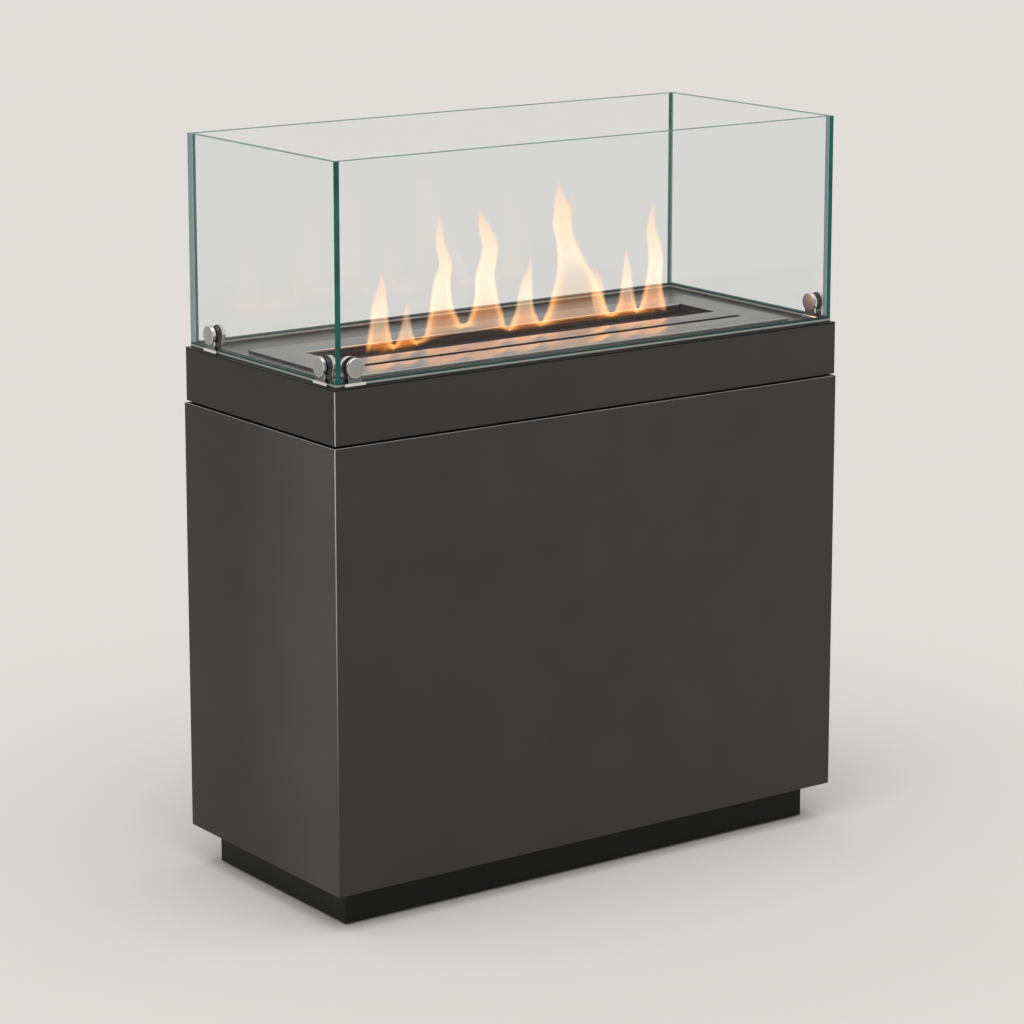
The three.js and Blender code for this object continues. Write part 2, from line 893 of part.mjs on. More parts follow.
// The pale strip that a pane stands on, notched below for the shoes of its clamps.
function glassSeal({ name, x0, x1, y0, y1 }) {
  const strip = box(x0, x1, y0, y1, ledgeTop, glassBottom);
  const reach = shoeLength / 2 + fit;
  const notches = clamps.filter((clamp) => clamp.pane === name).map(({ x, y }) => box(
    x - reach,
    x + reach,
    y - reach,
    y + reach,
    ledgeTop - overcut,
    ledgeTop + shoeBase + 2 * fit,
  ));
  return notches.length > 0 ? cut(strip, notches) : strip;
}

for (const pane of panes) {
  place(`glass_${pane.name}`, glassPane(pane), finishes.glass);
  place(`glass_seal_${pane.name}`, glassSeal(pane), finishes.seal);
}

// A bevelled disc about X, from its inner face x0 to its outer face x1.
function disc(x0, x1) {
  const outward = x1 > x0;
  const faces = outward
    ? [[0, x0], [capRadius, x0], [capRadius, x1 - capBevel], [capRadius - capBevel, x1], [0, x1]]
    : [[0, x1], [capRadius - capBevel, x1], [capRadius, x1 + capBevel], [capRadius, x0], [0, x0]];
  return turned(faces, capFacets).rotateY(Math.PI / 2);
}

// Shoe, two legs and inner jaw in one piece. X points outwards, and the origin is on the stud.
function clampBody() {
  const bottom = -clampHeight + fit;
  const shoe = cut(
    box(-shoeOuter, shoeOuter, -shoeLength / 2, shoeLength / 2, bottom, shoeHeight - clampHeight),
    [box(-shoeInner, shoeInner, -shoeLength, shoeLength, bottom + shoeBase, 0)],
  );
  const hollow = capRadius + fit;
  const outerLeg = cut(
    box(
      gripFace,
      gripFace + legThickness,
      -legWidth / 2,
      legWidth / 2,
      bottom + shoeBase,
      -Math.sqrt(hollow ** 2 - (legWidth / 2) ** 2) - legLand,
    ),
    [bar(hollow, 0, 2 * gripFace, capFacets).rotateY(Math.PI / 2)],
  );
  const innerLeg = box(
    -gripFace - legThickness,
    -gripFace,
    -legWidth / 2,
    legWidth / 2,
    bottom + shoeBase,
    0,
  );
  const bore = bar(studRadius + fit, -gripFace - studReach - fit, 0, smallFacets);
  const body = join(shoe, outerLeg, innerLeg, disc(-gripFace, -gripFace - jawLength));
  return cut(body, [bore.rotateY(Math.PI / 2)]);
}

// The outer disc with its threaded stud, drawn at the thread's outer radius.
function clampCap() {
  const stud = bar(studRadius, -gripFace - studReach, gripFace + capLength / 2, smallFacets);
  return join(disc(gripFace, gripFace + capLength), stud.rotateY(Math.PI / 2));
}

// A thin washer between the glass and a disc.
function clampGasket(side) {
  const x0 = paneHalf + fit;
  const x1 = x0 + gasketThickness;
  const washer = cut(
    bar(gasketRadius, x0, x1, footFacets),
    [bar(studRadius + fit, x0 - overcut, x1 + overcut, smallFacets)],
  );
  return washer.rotateY(side * Math.PI / 2);
}

for (const { name, x, y, turn } of clamps) {
  const seat = station(x, y, clampLevel, turn);
  place(`clamp_body_${name}`, clampBody(), finishes.chrome, seat);
  place(`clamp_cap_${name}`, clampCap(), finishes.chrome, seat);
  place(`clamp_gasket_outer_${name}`, clampGasket(1), finishes.blackRubber, seat);
  place(`clamp_gasket_inner_${name}`, clampGasket(-1), finishes.blackRubber, seat);
}

export default fireplace;
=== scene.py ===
# %% [markdown]
# # A bioethanol fireplace, dressed for its portrait
# The engineering model already has every piece at its real size. This lesson gives each piece
# the surface that a person would see and touch: powder coat, brushed steel, polished clamps,
# green-edged glass and a row of flames. Everything is in metres, +X runs along the long front,
# +Y from the front to the back, and +Z is up.

# %% Load the frame
import json
import math

import bmesh
import bpy
from mathutils import Matrix, Vector, noise


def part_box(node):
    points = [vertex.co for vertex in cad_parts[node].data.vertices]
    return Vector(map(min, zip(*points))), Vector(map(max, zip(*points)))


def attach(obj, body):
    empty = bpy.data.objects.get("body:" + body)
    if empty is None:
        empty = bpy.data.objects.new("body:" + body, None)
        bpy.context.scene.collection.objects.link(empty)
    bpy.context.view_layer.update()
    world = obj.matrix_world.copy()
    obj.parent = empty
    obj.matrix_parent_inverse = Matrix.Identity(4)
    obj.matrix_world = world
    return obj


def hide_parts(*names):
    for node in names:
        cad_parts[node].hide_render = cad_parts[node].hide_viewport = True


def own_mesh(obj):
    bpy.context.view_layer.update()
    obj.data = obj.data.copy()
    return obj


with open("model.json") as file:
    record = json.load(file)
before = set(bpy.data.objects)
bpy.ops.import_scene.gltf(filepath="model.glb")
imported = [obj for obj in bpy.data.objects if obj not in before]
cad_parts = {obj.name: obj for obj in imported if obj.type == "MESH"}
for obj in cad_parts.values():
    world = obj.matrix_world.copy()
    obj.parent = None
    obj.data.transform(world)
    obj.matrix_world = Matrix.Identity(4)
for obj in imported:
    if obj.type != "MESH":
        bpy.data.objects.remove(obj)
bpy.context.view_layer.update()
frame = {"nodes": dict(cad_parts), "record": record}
scene = bpy.context.scene
MM = 0.001
print("pieces in the frame:", len(frame["nodes"]))

# %% [markdown]
# ## The camera
# The photograph was taken with a long lens from the front left, a little above the glass. Its
# camera was worked out from the corners of the cabinet. The picture is cropped below the line of
# sight, so the lens is shifted instead of tilted further down, which keeps upright edges upright.

# %% Place the camera
FOCAL_PIXELS = 3491
IMAGE_PIXELS = 1024
SENSOR_WIDTH_MM = 36
SIGHT_LINE_PIXELS_ABOVE_MIDDLE = 123
CAMERA_PLACE = Vector((-2.9653, -4.1069, 1.7121))
CAMERA_TURN = math.radians(35.751)
CAMERA_TILT = math.radians(11.342)


def placed(name, data):
    """Adds an object to the scene."""
    thing = bpy.data.objects.new(name, data)
    scene.collection.objects.link(thing)
    return thing


def place_camera():
    data = bpy.data.cameras.new("camera")
    data.sensor_width = SENSOR_WIDTH_MM
    data.lens = FOCAL_PIXELS / IMAGE_PIXELS * SENSOR_WIDTH_MM
    data.shift_y = -SIGHT_LINE_PIXELS_ABOVE_MIDDLE / IMAGE_PIXELS
    camera = placed("camera", data)
    camera.location = CAMERA_PLACE
    camera.rotation_euler = (math.pi / 2 - CAMERA_TILT, 0, -CAMERA_TURN)
    scene.camera = camera
    return data


print("lens in mm:", round(place_camera().lens, 1))

# %% [markdown]
# ## Nodes
# A material is a tree of nodes, and so is the sky. In code, every node takes the same three
# steps: add it, set its values, link its inputs. A few helpers do that, so that each finish
# below reads like a recipe.

# %% Add and link nodes
def cleared(owner):
    owner.use_nodes = True
    owner.node_tree.nodes.clear()
    return owner


def fill(node, inputs):
    """Sets each input to a plain value, or links it to another node's output."""
    for name, value in inputs.items():
        socket = node.inputs[name]
        if isinstance(value, bpy.types.NodeSocket):
            node.id_data.links.new(value, socket)
        else:
            socket.default_value = (*value, 1) if socket.type == "RGBA" else value


def add_node(owner, kind, inputs, **settings):
    """Adds a node beside another one, or to a material or sky, which own their tree."""
    tree = getattr(owner, "node_tree", owner.id_data)
    node = tree.nodes.new("ShaderNode" + kind)
    for name, value in settings.items():
        setattr(node, name, value)
    fill(node, inputs)
    return node


def reckoned(owner, operation, first, second=0, **settings):
    inputs = {0: first, 1: second}
    return add_node(owner, "Math", inputs, operation=operation, **settings).outputs[0]


def mixed_shader(share, first, second):
    return add_node(first, "MixShader", {0: share, 1: first, 2: second}).outputs[0]


print("node helpers:", [helper.__name__ for helper in (fill, add_node, reckoned, mixed_shader)])

# %% [markdown]
# ## Floor, sky and lamps
# A product shot wants a floor that runs out of the picture without a line. A very large plain
# plane does that, and the sky behind it has the same colour for the camera, for mirrors and for
# glass. The sky and one wide sun light the object softly: a wide sun gives soft shadows, and
# unlike a lamp it is as bright far away as close by, so the floor stays even.

# %% Floor and light
FLOOR_COLOUR = (0.80, 0.785, 0.77)
BACKDROP_COLOUR = (0.735, 0.715, 0.69)
BACKDROP_SHARE = 0.05
SKY_COLOUR = (1.0, 0.99, 0.98)
SKY_STRENGTH = 0.38
SUN_COLOUR = (1.0, 0.985, 0.965)
SUN_STRENGTH = 1.82
SUN_WIDTH = math.radians(68)
SUN_TILT = math.radians(16)
SUN_TURN = math.radians(-36)
FLOOR_SIZE = 60


def what_shows_backdrop(owner):
    """One for rays from the camera, a mirror or glass, and zero for rays that carry light."""
    rays = add_node(owner, "LightPath", {}).outputs
    direct = reckoned(owner, "MAXIMUM", rays["Is Camera Ray"], rays["Is Glossy Ray"])
    return reckoned(owner, "MAXIMUM", direct, rays["Is Transmission Ray"])


def floor_paint():
    paint = cleared(bpy.data.materials.new("floor_paint"))
    matt = add_node(paint, "BsdfDiffuse", {"Color": FLOOR_COLOUR}).outputs[0]
    even = add_node(paint, "Emission", {"Color": BACKDROP_COLOUR}).outputs[0]
    share = reckoned(paint, "MULTIPLY", what_shows_backdrop(paint), BACKDROP_SHARE)
    add_node(paint, "OutputMaterial", {"Surface": mixed_shader(share, matt, even)})
    return paint


def meshed(name, shape):
    """Turns a finished bmesh into a mesh."""
    mesh = bpy.data.meshes.new(name)
    shape.to_mesh(mesh)
    shape.free()
    return mesh


def make_floor():
    shape = bmesh.new()
    bmesh.ops.create_grid(shape, x_segments=1, y_segments=1, size=FLOOR_SIZE / 2)
    floor = placed("floor", meshed("floor", shape))
    floor.data.materials.append(floor_paint())


def make_sky():
    world = cleared(bpy.data.worlds.new("sky"))
    scene.world = world
    light = add_node(world, "Background", {"Color": SKY_COLOUR, "Strength": SKY_STRENGTH})
    backdrop = add_node(world, "Background", {"Color": BACKDROP_COLOUR})
    shown = what_shows_backdrop(world)
    sky = mixed_shader(shown, light.outputs[0], backdrop.outputs[0])
    add_node(world, "OutputWorld", {"Surface": sky})


def make_sun():
    data = bpy.data.lights.new("wide_sun", "SUN")
    data.energy = SUN_STRENGTH
    data.angle = SUN_WIDTH
    data.color = SUN_COLOUR
    placed("wide_sun", data).rotation_euler = (SUN_TILT, 0, SUN_TURN)


make_floor()
make_sky()
make_sun()
print("floor side in m:", FLOOR_SIZE)

# %% [markdown]
# Light that crosses the guard meets several sheets of glass and the soft skins of the flames one
# behind the other. Each crossing counts as a step, so the ray is allowed more steps than usual.
# The Standard view keeps colours as they are mixed, which the pale floor needs to stay pale.

# %% Let rays cross many clear layers
scene.cycles.transparent_max_bounces = 64
scene.view_settings.view_transform = "Standard"
print("clear layers a ray may cross:", scene.cycles.transparent_max_bounces)

# %% [markdown]
# ## Small tools
# Every new piece is modelled in a bmesh, in place, and handed over by one function. It stores
# the mesh, gives it its finishes, shades the curved faces smoothly and leaves flat faces flat,
# hangs it on the body that it rides on, and hides the solid that it stands for.

# %% Modelling helpers
SAME_PLACE = 0.002 * MM
SHARP = math.radians(30)
# The part along an axis from which a direction counts as running with it.
ALIGNED = 0.9


def finished_piece(name, shape, body, materials, replaced=(), smooth_angle=35):
    bmesh.ops.remove_doubles(shape, verts=shape.verts, dist=SAME_PLACE)
    bmesh.ops.recalc_face_normals(shape, faces=shape.faces)
    mesh = meshed(name, shape)
    for material in materials:
        mesh.materials.append(material)
    mesh.polygons.foreach_set("use_smooth", [True] * len(mesh.polygons))
    mesh.set_sharp_from_angle(angle=math.radians(smooth_angle))
    piece = placed(name, mesh)
    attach(piece, body)
    if replaced:
        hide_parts(*replaced)
    print(name, "faces:", len(mesh.polygons))
    return piece


def block(shape, low, high):
    """Adds a box between two corners."""
    made = bmesh.ops.create_cube(shape, size=1)["verts"]
    bmesh.ops.scale(shape, vec=Vector(high) - Vector(low), verts=made)
    bmesh.ops.translate(shape, vec=(Vector(high) + Vector(low)) / 2, verts=made)


def sharp_edges(shape):
    return [e for e in shape.edges if e.is_manifold and e.calc_face_angle() > SHARP]


def edges_along(edges, axis):
    """The edges that run along an axis: 0 for X, 1 for Y and 2 for Z."""
    return [e for e in edges if abs((e.verts[0].co - e.verts[1].co).normalized()[axis]) > ALIGNED]


def round_edges(shape, edges, radius, steps=3):
    bmesh.ops.bevel(
        shape, geom=edges, offset=radius, segments=steps,
        affect="EDGES", profile=0.5, material=-1, clamp_overlap=True,
    )


def inside(point, hole):
    x0, x1, y0, y1 = hole
    return x0 < point.x < x1 and y0 < point.y < y1


def divide(shape, place, axis):
    """Cuts the faces along a plane and keeps both sides."""
    everything = [*shape.verts, *shape.edges, *shape.faces]
    bmesh.ops.bisect_plane(shape, geom=everything, plane_co=place, plane_no=axis)


def lift(shape, extruded, height):
    """Moves the points that an extrusion made upwards."""
    tops = [item for item in extruded["geom"] if isinstance(item, bmesh.types.BMVert)]
    bmesh.ops.translate(shape, vec=(0, 0, height), verts=tops)


def pierced_sheet(shape, low, high, holes):
    """A flat sheet between two corners with rectangular holes (x0, x1, y0, y1) cut through it."""
    outline = ((low.x, low.y), (high.x, low.y), (high.x, high.y), (low.x, high.y))
    shape.faces.new([shape.verts.new((x, y, low.z)) for x, y in outline])
    for hole in holes:
        for axis, places in ((Vector((1, 0, 0)), hole[:2]), (Vector((0, 1, 0)), hole[2:])):
            for place in places:
                divide(shape, axis * place, axis)
    gone = [f for f in shape.faces if any(inside(f.calc_center_median(), h) for h in holes)]
    bmesh.ops.delete(shape, geom=gone, context="FACES")
    lift(shape, bmesh.ops.extrude_face_region(shape, geom=list(shape.faces)), high.z - low.z)
    bmesh.ops.recalc_face_normals(shape, faces=shape.faces)


def turned(shape, outline, place, axis, steps=48):
    """Spins (radius, distance) points about an axis through a place, and returns the vertices."""
    before = set(shape.verts)
    along = Vector(axis).normalized()
    across = along.orthogonal().normalized()
    spots = [Vector(place) + along * far + across * radius for radius, far in outline]
    verts = [shape.verts.new(spot) for spot in spots]
    edges = [shape.edges.new(pair) for pair in zip(verts, verts[1:])]
    bmesh.ops.spin(
        shape, geom=[*verts, *edges], cent=place, axis=along,
        angle=math.tau, steps=steps, use_merge=True,
    )
    made = [v for v in shape.verts if v not in before]
    bmesh.ops.remove_doubles(shape, verts=made, dist=SAME_PLACE)
    return [v for v in shape.verts if v not in before]


def body_of(node):
    bodies = frame["record"]["behaviour"]["bodies"]
    return next(body for body, nodes in bodies.items() if node in nodes)


def corners_of(node):
    low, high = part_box(node)
    return Vector(low), Vector(high)


def nodes_named(start):
    return [name for name in frame["nodes"] if name.startswith(start)]


# %% [markdown]
# ## Finishes
# Each finish is a small node tree. All of them read Object coordinates, which are the same
# metres that the pieces are modelled in, so a grain size is written as a real length and runs
# on from one piece to the next. Values that are the same everywhere stay on the shader itself.

# %% Shader helpers
def principled(name, colour, roughness, metallic=0.0, specular=0.5):
    material = cleared(bpy.data.materials.new(name))
    shader = add_node(material, "BsdfPrincipled", {
        "Base Color": colour, "Roughness": roughness, "Metallic": metallic,
        "Specular IOR Level": specular,
    })
    add_node(material, "OutputMaterial", {"Surface": shader.outputs["BSDF"]})
    return material, shader


def own_place(material):
    return add_node(material, "TexCoord", {}).outputs["Object"]


def grain(material, size, detail=3.0, stretch=(1, 1, 1)):
    """Noise with features of a real size in metres, drawn out along an axis by stretch."""
    inputs = {"Vector": own_place(material), "Scale": [1 / size / s for s in stretch]}
    place = add_node(material, "Mapping", inputs).outputs["Vector"]
    inputs = {"Vector": place, "Scale": 1, "Detail": detail}
    return add_node(material, "TexNoise", inputs).outputs["Fac"]


def spread(factor, low, high, low_in=0.3, high_in=0.7, **settings):
    """Maps a factor to a range of plain numbers."""
    return add_node(factor, "MapRange", {
        "Value": factor, "From Min": low_in, "From Max": high_in, "To Min": low, "To Max": high,
    }, **settings).outputs["Result"]


def blended(factor, first, second):
    """A colour between two others."""
    inputs = {"Factor": factor, "A": first, "B": second}
    return add_node(factor, "Mix", inputs, data_type="RGBA").outputs["Result"]


def mottled(speckle, colour, contrast):
    """A colour that wavers a little with a grain."""
    dark, light = ([c * (1 + change) for c in colour] for change in (-contrast, contrast))
    return blended(spread(speckle, 0, 1), dark, light)


def relief(shader, height, depth, strength=1.0):
    """Bumps the shader's surface by a factor, over a depth in metres."""
    bump = add_node(height, "Bump", {"Strength": strength, "Distance": depth, "Height": height})
    fill(shader, {"Normal": bump.outputs["Normal"]})


# %% [markdown]
# ** Powder coat.** Anthracite powder is sprayed dry and baked, which leaves a matt skin with a
# fine orange peel. Two noises make it: one about a millimetre across for the peel, and a broad,
# very faint one for the cloudiness that a large sheet shows. The ends also get painted light of
# their own, a shade lighter or darker than the long front, that grows lighter towards the front
# fold. A mask made from the surface normal finds the ends.

# %% Powder coat
CLOUD_SIZE = 110 * MM
PEEL_SIZE = 1.3 * MM
PEEL_DEPTH = 0.05 * MM
END_BACK, END_FRONT = 0.10, -0.19


def end_faces(material):
    """One where a surface faces left or right, and zero where it faces another way."""
    facing = add_node(material, "TexCoord", {}).outputs["Normal"]
    sideways = add_node(material, "SeparateXYZ", {"Vector": facing}).outputs["X"]
    return spread(reckoned(material, "ABSOLUTE", sideways), 0, 1, 0.6, 0.9)


def along_axis(material, axis, start, end, low, high):
    """A smooth change from low to high between two places along an axis."""
    place = add_node(material, "SeparateXYZ", {"Vector": own_place(material)}).outputs[axis]
    return spread(place, low, high, start, end, interpolation_type="SMOOTHSTEP")


def shaded(colour, shade):
    """A colour made lighter or darker by a factor."""
    inputs = {"Vector": colour, "Scale": shade}
    return add_node(colour, "VectorMath", inputs, operation="SCALE").outputs["Vector"]


def powder_coat(name, colour, cloud=0.10, roughness=0.52, ends=(1.0, 1.0), specular=0.4):
    material, shader = principled(name, colour, roughness, specular=specular)
    clouded = mottled(grain(material, CLOUD_SIZE, detail=5), colour, cloud)
    # Painted light on the ends, growing lighter from the back towards the front fold.
    painted_end_light = along_axis(material, "Y", END_BACK, END_FRONT, *ends)
    choice = add_node(material, "Mix", {"Factor": end_faces(material), "A": 1, "B": painted_end_light})
    peel = grain(material, PEEL_SIZE, detail=2)
    fill(shader, {
        "Base Color": shaded(clouded, choice.outputs["Result"]),
        "Roughness": spread(peel, roughness - 0.05, roughness + 0.07),
    })
    relief(shader, peel, PEEL_DEPTH)
    return material


# Painted side light: the cabinet ends are painted darker at the back and lighter near the front
# fold, the fascia ends darker and the plinth ends lighter than their fronts.
CABINET_COAT = powder_coat("cabinet_coat", (0.0315, 0.031, 0.0305), ends=(0.72, 1.85))
FASCIA_COAT = powder_coat("fascia_coat", (0.030, 0.0295, 0.029), cloud=0.06, ends=(0.3, 0.7))
PLINTH_COAT = powder_coat(
    "plinth_coat", (0.0045, 0.0045, 0.0045),
    cloud=0.05, roughness=0.6, ends=(2.2, 2.6), specular=0.25,
)

# %% [markdown]
# ** Painted fold highlight.** Every fold gets a pale line painted on it, a painted highlight for
# the light that a rounded bend catches. The line is strongest at the top and fades towards the
# floor.

# %% Painted fold highlight
FADED_BELOW, BRIGHTEST_ABOVE = 0.05, 0.80


def painted_fold_highlight():
    material, shader = principled("painted_fold_highlight", (0.2, 0.2, 0.2), 0.35)
    pale = along_axis(material, "Z", FADED_BELOW, BRIGHTEST_ABOVE, 0.0, 1.0)
    uneven = spread(grain(material, size=9 * MM, detail=4), 0.85, 1.0)
    strength = reckoned(material, "MULTIPLY", pale, uneven)
    highlight_colour = blended(strength, (0.035, 0.035, 0.035), (0.72, 0.72, 0.73))
    fill(shader, {"Base Color": highlight_colour})
    return material


PAINTED_FOLD_HIGHLIGHT = painted_fold_highlight()

# %% [markdown]
# **Brushed steel.** A belt drags fine scratches along the sheet. Noise that is long in one
# direction and very short across it gives them, in brightness, roughness and relief. The shader
# is also told to stretch its highlights across the scratches, which turns the mirror image of a
# flame into a long warm streak.

# %% Brushed steel
SCRATCH_WIDTH = 0.45 * MM
SCRATCH_STRETCH = 150
HIGHLIGHT_STRETCH = 0.6


def brushed_steel(name, colour, roughness, along=(1, 0, 0), uneven=0.12):
    material, shader = principled(name, colour, roughness, metallic=1.0)
    lengthwise = [SCRATCH_STRETCH if part else 1 for part in along]
    scratches = grain(material, SCRATCH_WIDTH, detail=3, stretch=lengthwise)
    fill(shader, {
        "Base Color": mottled(scratches, colour, uneven),
        "Roughness": spread(scratches, roughness - 0.06, roughness + 0.06),
        "Anisotropic": HIGHLIGHT_STRETCH,
        "Tangent": add_node(material, "CombineXYZ", dict(enumerate(along))).outputs["Vector"],
    })
    relief(shader, scratches, depth=0.01 * MM, strength=0.5)
    return material


UPRIGHT = (0, 0, 1)
LEDGE_STEEL = brushed_steel("ledge_steel", (0.138, 0.142, 0.14), 0.34)
COVER_STEEL = brushed_steel("cover_steel", (0.28, 0.283, 0.28), 0.33)
# Polished cut edges that also carry a painted highlight, and a dark painted shade for cut edges.
CUT_STEEL_HIGHLIGHT = brushed_steel("cut_steel_highlight", (0.85, 0.84, 0.82), 0.28, uneven=0.04)
PAINTED_SHADE_EDGE = brushed_steel("painted_shade_edge", (0.02, 0.02, 0.022), 0.5)
BURNER_STEEL = brushed_steel("burner_steel", (0.10, 0.082, 0.066), 0.42)
MESH_STEEL = brushed_steel("mesh_steel", (0.035, 0.04, 0.06), 0.42)
DISC_FACE_STEEL = brushed_steel("disc_face_steel", (0.39, 0.385, 0.375), 0.3, UPRIGHT, uneven=0.05)
LEG_STEEL = brushed_steel("leg_steel", (0.17, 0.175, 0.17), 0.4, UPRIGHT, uneven=0.06)
FOOT_STEEL = brushed_steel("foot_steel", (0.07, 0.07, 0.07), 0.42, UPRIGHT)

# %% [markdown]
# **Zinc-coated sheet** for the hidden frame has a faint spangle of crystals, which a Voronoi
# pattern imitates: every cell is one crystal with its own shade. Polished steel, rubber and wool
# need only one noise each, for the smears, the dull bloom and the fibres.

# %% Zinc, polished steel, rubber and wool
CRYSTAL_SIZE = 9 * MM


def zinc_sheet():
    material, shader = principled("zinc_steel", (0.27, 0.28, 0.285), 0.45, metallic=0.9)
    crystals = add_node(
        material, "TexVoronoi", {"Vector": own_place(material), "Scale": 1 / CRYSTAL_SIZE}
    ).outputs["Color"]
    shade = add_node(material, "SeparateColor", {"Color": crystals}).outputs["Red"]
    fill(shader, {
        "Base Color": blended(shade, (0.22, 0.23, 0.235), (0.33, 0.34, 0.345)),
        "Roughness": spread(shade, 0.36, 0.52, 0, 1),
    })
    return material


def polished_steel():
    material, shader = principled("polished_steel", (0.76, 0.75, 0.73), 0.1, metallic=1.0)
    smear = grain(material, size=6 * MM, detail=4)
    fill(shader, {"Roughness": spread(smear, 0.07, 0.16)})
    return material


def black_rubber():
    material, shader = principled("black_rubber", (0.006, 0.006, 0.0065), 0.65, specular=0.3)
    bloom = grain(material, size=0.8 * MM, detail=3)
    fill(shader, {"Roughness": spread(bloom, 0.55, 0.75)})
    relief(shader, bloom, depth=0.03 * MM)
    return material


def ceramic_wool():
    material, shader = principled("ceramic_wool", (0.62, 0.58, 0.50), 0.95, specular=0.1)
    fibres = grain(material, size=1.6 * MM, detail=6, stretch=(4, 1, 1))
    factor = spread(fibres, 0, 1)
    colour = blended(factor, (0.34, 0.30, 0.25), (0.72, 0.69, 0.62))
    fill(shader, {"Base Color": colour})
    relief(shader, fibres, depth=0.8 * MM)
    return material


ZINC_STEEL = zinc_sheet()
POLISHED_STEEL = polished_steel()
BLACK_RUBBER = black_rubber()
CERAMIC_WOOL = ceramic_wool()

# %% [markdown]
# ** The setting strip** under the panes is a pale extrusion with fine slanting ribs. Its lower part
# is darkened by a painted shade. Its top lip lies against the green bottom edge of the glass and
# carries a painted reflection of that edge, as dark as the edge.

# %% Setting strip
STRIP_BOTTOM, STRIP_TOP = (corner[2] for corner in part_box("glass_seal_front"))
STRIP_SHADE = STRIP_BOTTOM + 0.35 * (STRIP_TOP - STRIP_BOTTOM)
RIB_PITCH = 2.6 * MM
RIB_SLANT = [math.radians(turn) for turn in (30, 30, 45)]
WAVE_LENGTH_AT_SCALE_ONE = math.tau / 20


def setting_strip():
    material, shader = principled("setting_strip", (0.3, 0.31, 0.28), 0.45, specular=0.4)
    slant = add_node(material, "Mapping", {"Vector": own_place(material), "Rotation": RIB_SLANT})
    ribs = add_node(material, "TexWave", {
        "Vector": slant.outputs["Vector"], "Scale": WAVE_LENGTH_AT_SCALE_ONE / RIB_PITCH,
        "Distortion": 1.0,
    }).outputs["Fac"]
    # Painted shade on the lower part of the strip.
    in_light = along_axis(material, "Z", STRIP_SHADE - 0.4 * MM, STRIP_SHADE + 0.4 * MM, 0.12, 1)
    ribbed = blended(ribs, (0.30, 0.325, 0.31), (0.58, 0.61, 0.58))
    # Painted dark teal reflection of the glass edge on the top lip.
    lip = along_axis(material, "Z", STRIP_TOP - 1.4 * MM, STRIP_TOP - 1.0 * MM, 0, 1)
    colour = blended(lip, shaded(ribbed, in_light), (0.008, 0.05, 0.048))
    fill(shader, {"Base Color": colour})
    relief(shader, ribs, depth=0.15 * MM)
    return material


SETTING_STRIP = setting_strip()

# %% [markdown]
# **Glass.** A pane 8 mm thick hardly bends what lies behind it, so its broad faces simply let
# rays through with a faint green tint, and mirror a little of the room by the Fresnel law. That
# is quick, free of noise, and lets the light of the room reach the burner. Only the outside of
# each face mirrors. A pane's green comes from iron in the glass and shows where one looks
# along it, so a ground edge is dark teal from outside. From inside the glass it acts as a
# mirror and looks dark. The bonded ends are paler, because glue joins them to the next pane,
# and a narrow foot band is dark, where the bottom edge is seen through the face.

# %% Glass
def backfacing(material):
    return add_node(material, "NewGeometry", {}).outputs["Backfacing"]


def clear_layer(name, tint, milk=0.0, milk_colour=(0, 0, 0)):
    """Lets rays through, mirrors on its outside, and may be milky with a colour of its own."""
    material = cleared(bpy.data.materials.new(name))
    body = add_node(material, "BsdfTransparent", {"Color": tint}).outputs[0]
    if milk:
        haze = add_node(material, "BsdfDiffuse", {"Color": milk_colour}).outputs[0]
        body = mixed_shader(milk, body, haze)
    gloss = add_node(material, "BsdfGlossy", {"Roughness": 0.1}).outputs[0]
    fresnel = add_node(material, "Fresnel", {"IOR": 1.5}).outputs[0]
    outside = reckoned(material, "SUBTRACT", 1, backfacing(material))
    share = reckoned(material, "MULTIPLY", outside, fresnel, use_clamp=True)
    add_node(material, "OutputMaterial", {"Surface": mixed_shader(share, body, gloss)})
    return material


def glass_edge(name, deep, pale, clear_share=0.0):
    """Ground glass edge: teal from outside, and dark like a mirror from inside the pane."""
    material, shader = principled(name, deep, 0.2, specular=0.3)
    depth = grain(material, size=18 * MM, detail=2, stretch=(1, 1, 4))
    fill(shader, {"Base Color": blended(spread(depth, 0, 1), deep, pale)})
    clear = reckoned(material, "MAXIMUM", backfacing(material), clear_share)
    through = add_node(material, "BsdfTransparent", {"Color": (0.24, 0.35, 0.36)}).outputs[0]
    output = next(node for node in material.node_tree.nodes if node.type == "OUTPUT_MATERIAL")
    surface = mixed_shader(clear, shader.outputs["BSDF"], through)
    fill(output, {"Surface": surface})
    return material


GLASS_FACE = clear_layer("glass_face", (0.977, 0.986, 0.987))
GLASS_FOOT = clear_layer(
    "glass_foot", (0.25, 0.5, 0.48), milk=0.9, milk_colour=(0.002, 0.035, 0.034)
)
GLASS_EDGE = glass_edge("glass_edge", (0.0005, 0.095, 0.076), (0.003, 0.185, 0.15))
GLASS_JOINT = glass_edge(
    "glass_joint", (0.012, 0.15, 0.13), (0.03, 0.22, 0.195), clear_share=0.08
)
print("finishes made:", len(bpy.data.materials))

# %% [markdown]
# ## Cabinet casing
# The casing is one sheet folded round three sides. A folded sheet is easiest to make the way the
# workshop does it: draw the path of the bends as a line, raise it into a wall, round the bends,
# and only then give the wall its thickness. A last small rounding along the top edge, like the
# folds, gets a painted highlight for the thin line of light just below the shadow gap.

# %% Fold the casing
SHEET = 2 * MM
FOLD_RADIUS = 2.5 * MM
CASING_RIM = 0.8 * MM
# Parts of a face normal: one that a bend has in two directions, and the most on a wall.
BENT, LEVEL = 0.5, 0.1


def raise_wall(shape, path, bottom, top):
    verts = [shape.verts.new((x, y, bottom)) for x, y in path]
    edges = [shape.edges.new(pair) for pair in zip(verts, verts[1:])]
    lift(shape, bmesh.ops.extrude_edge_only(shape, edges=edges), top - bottom)


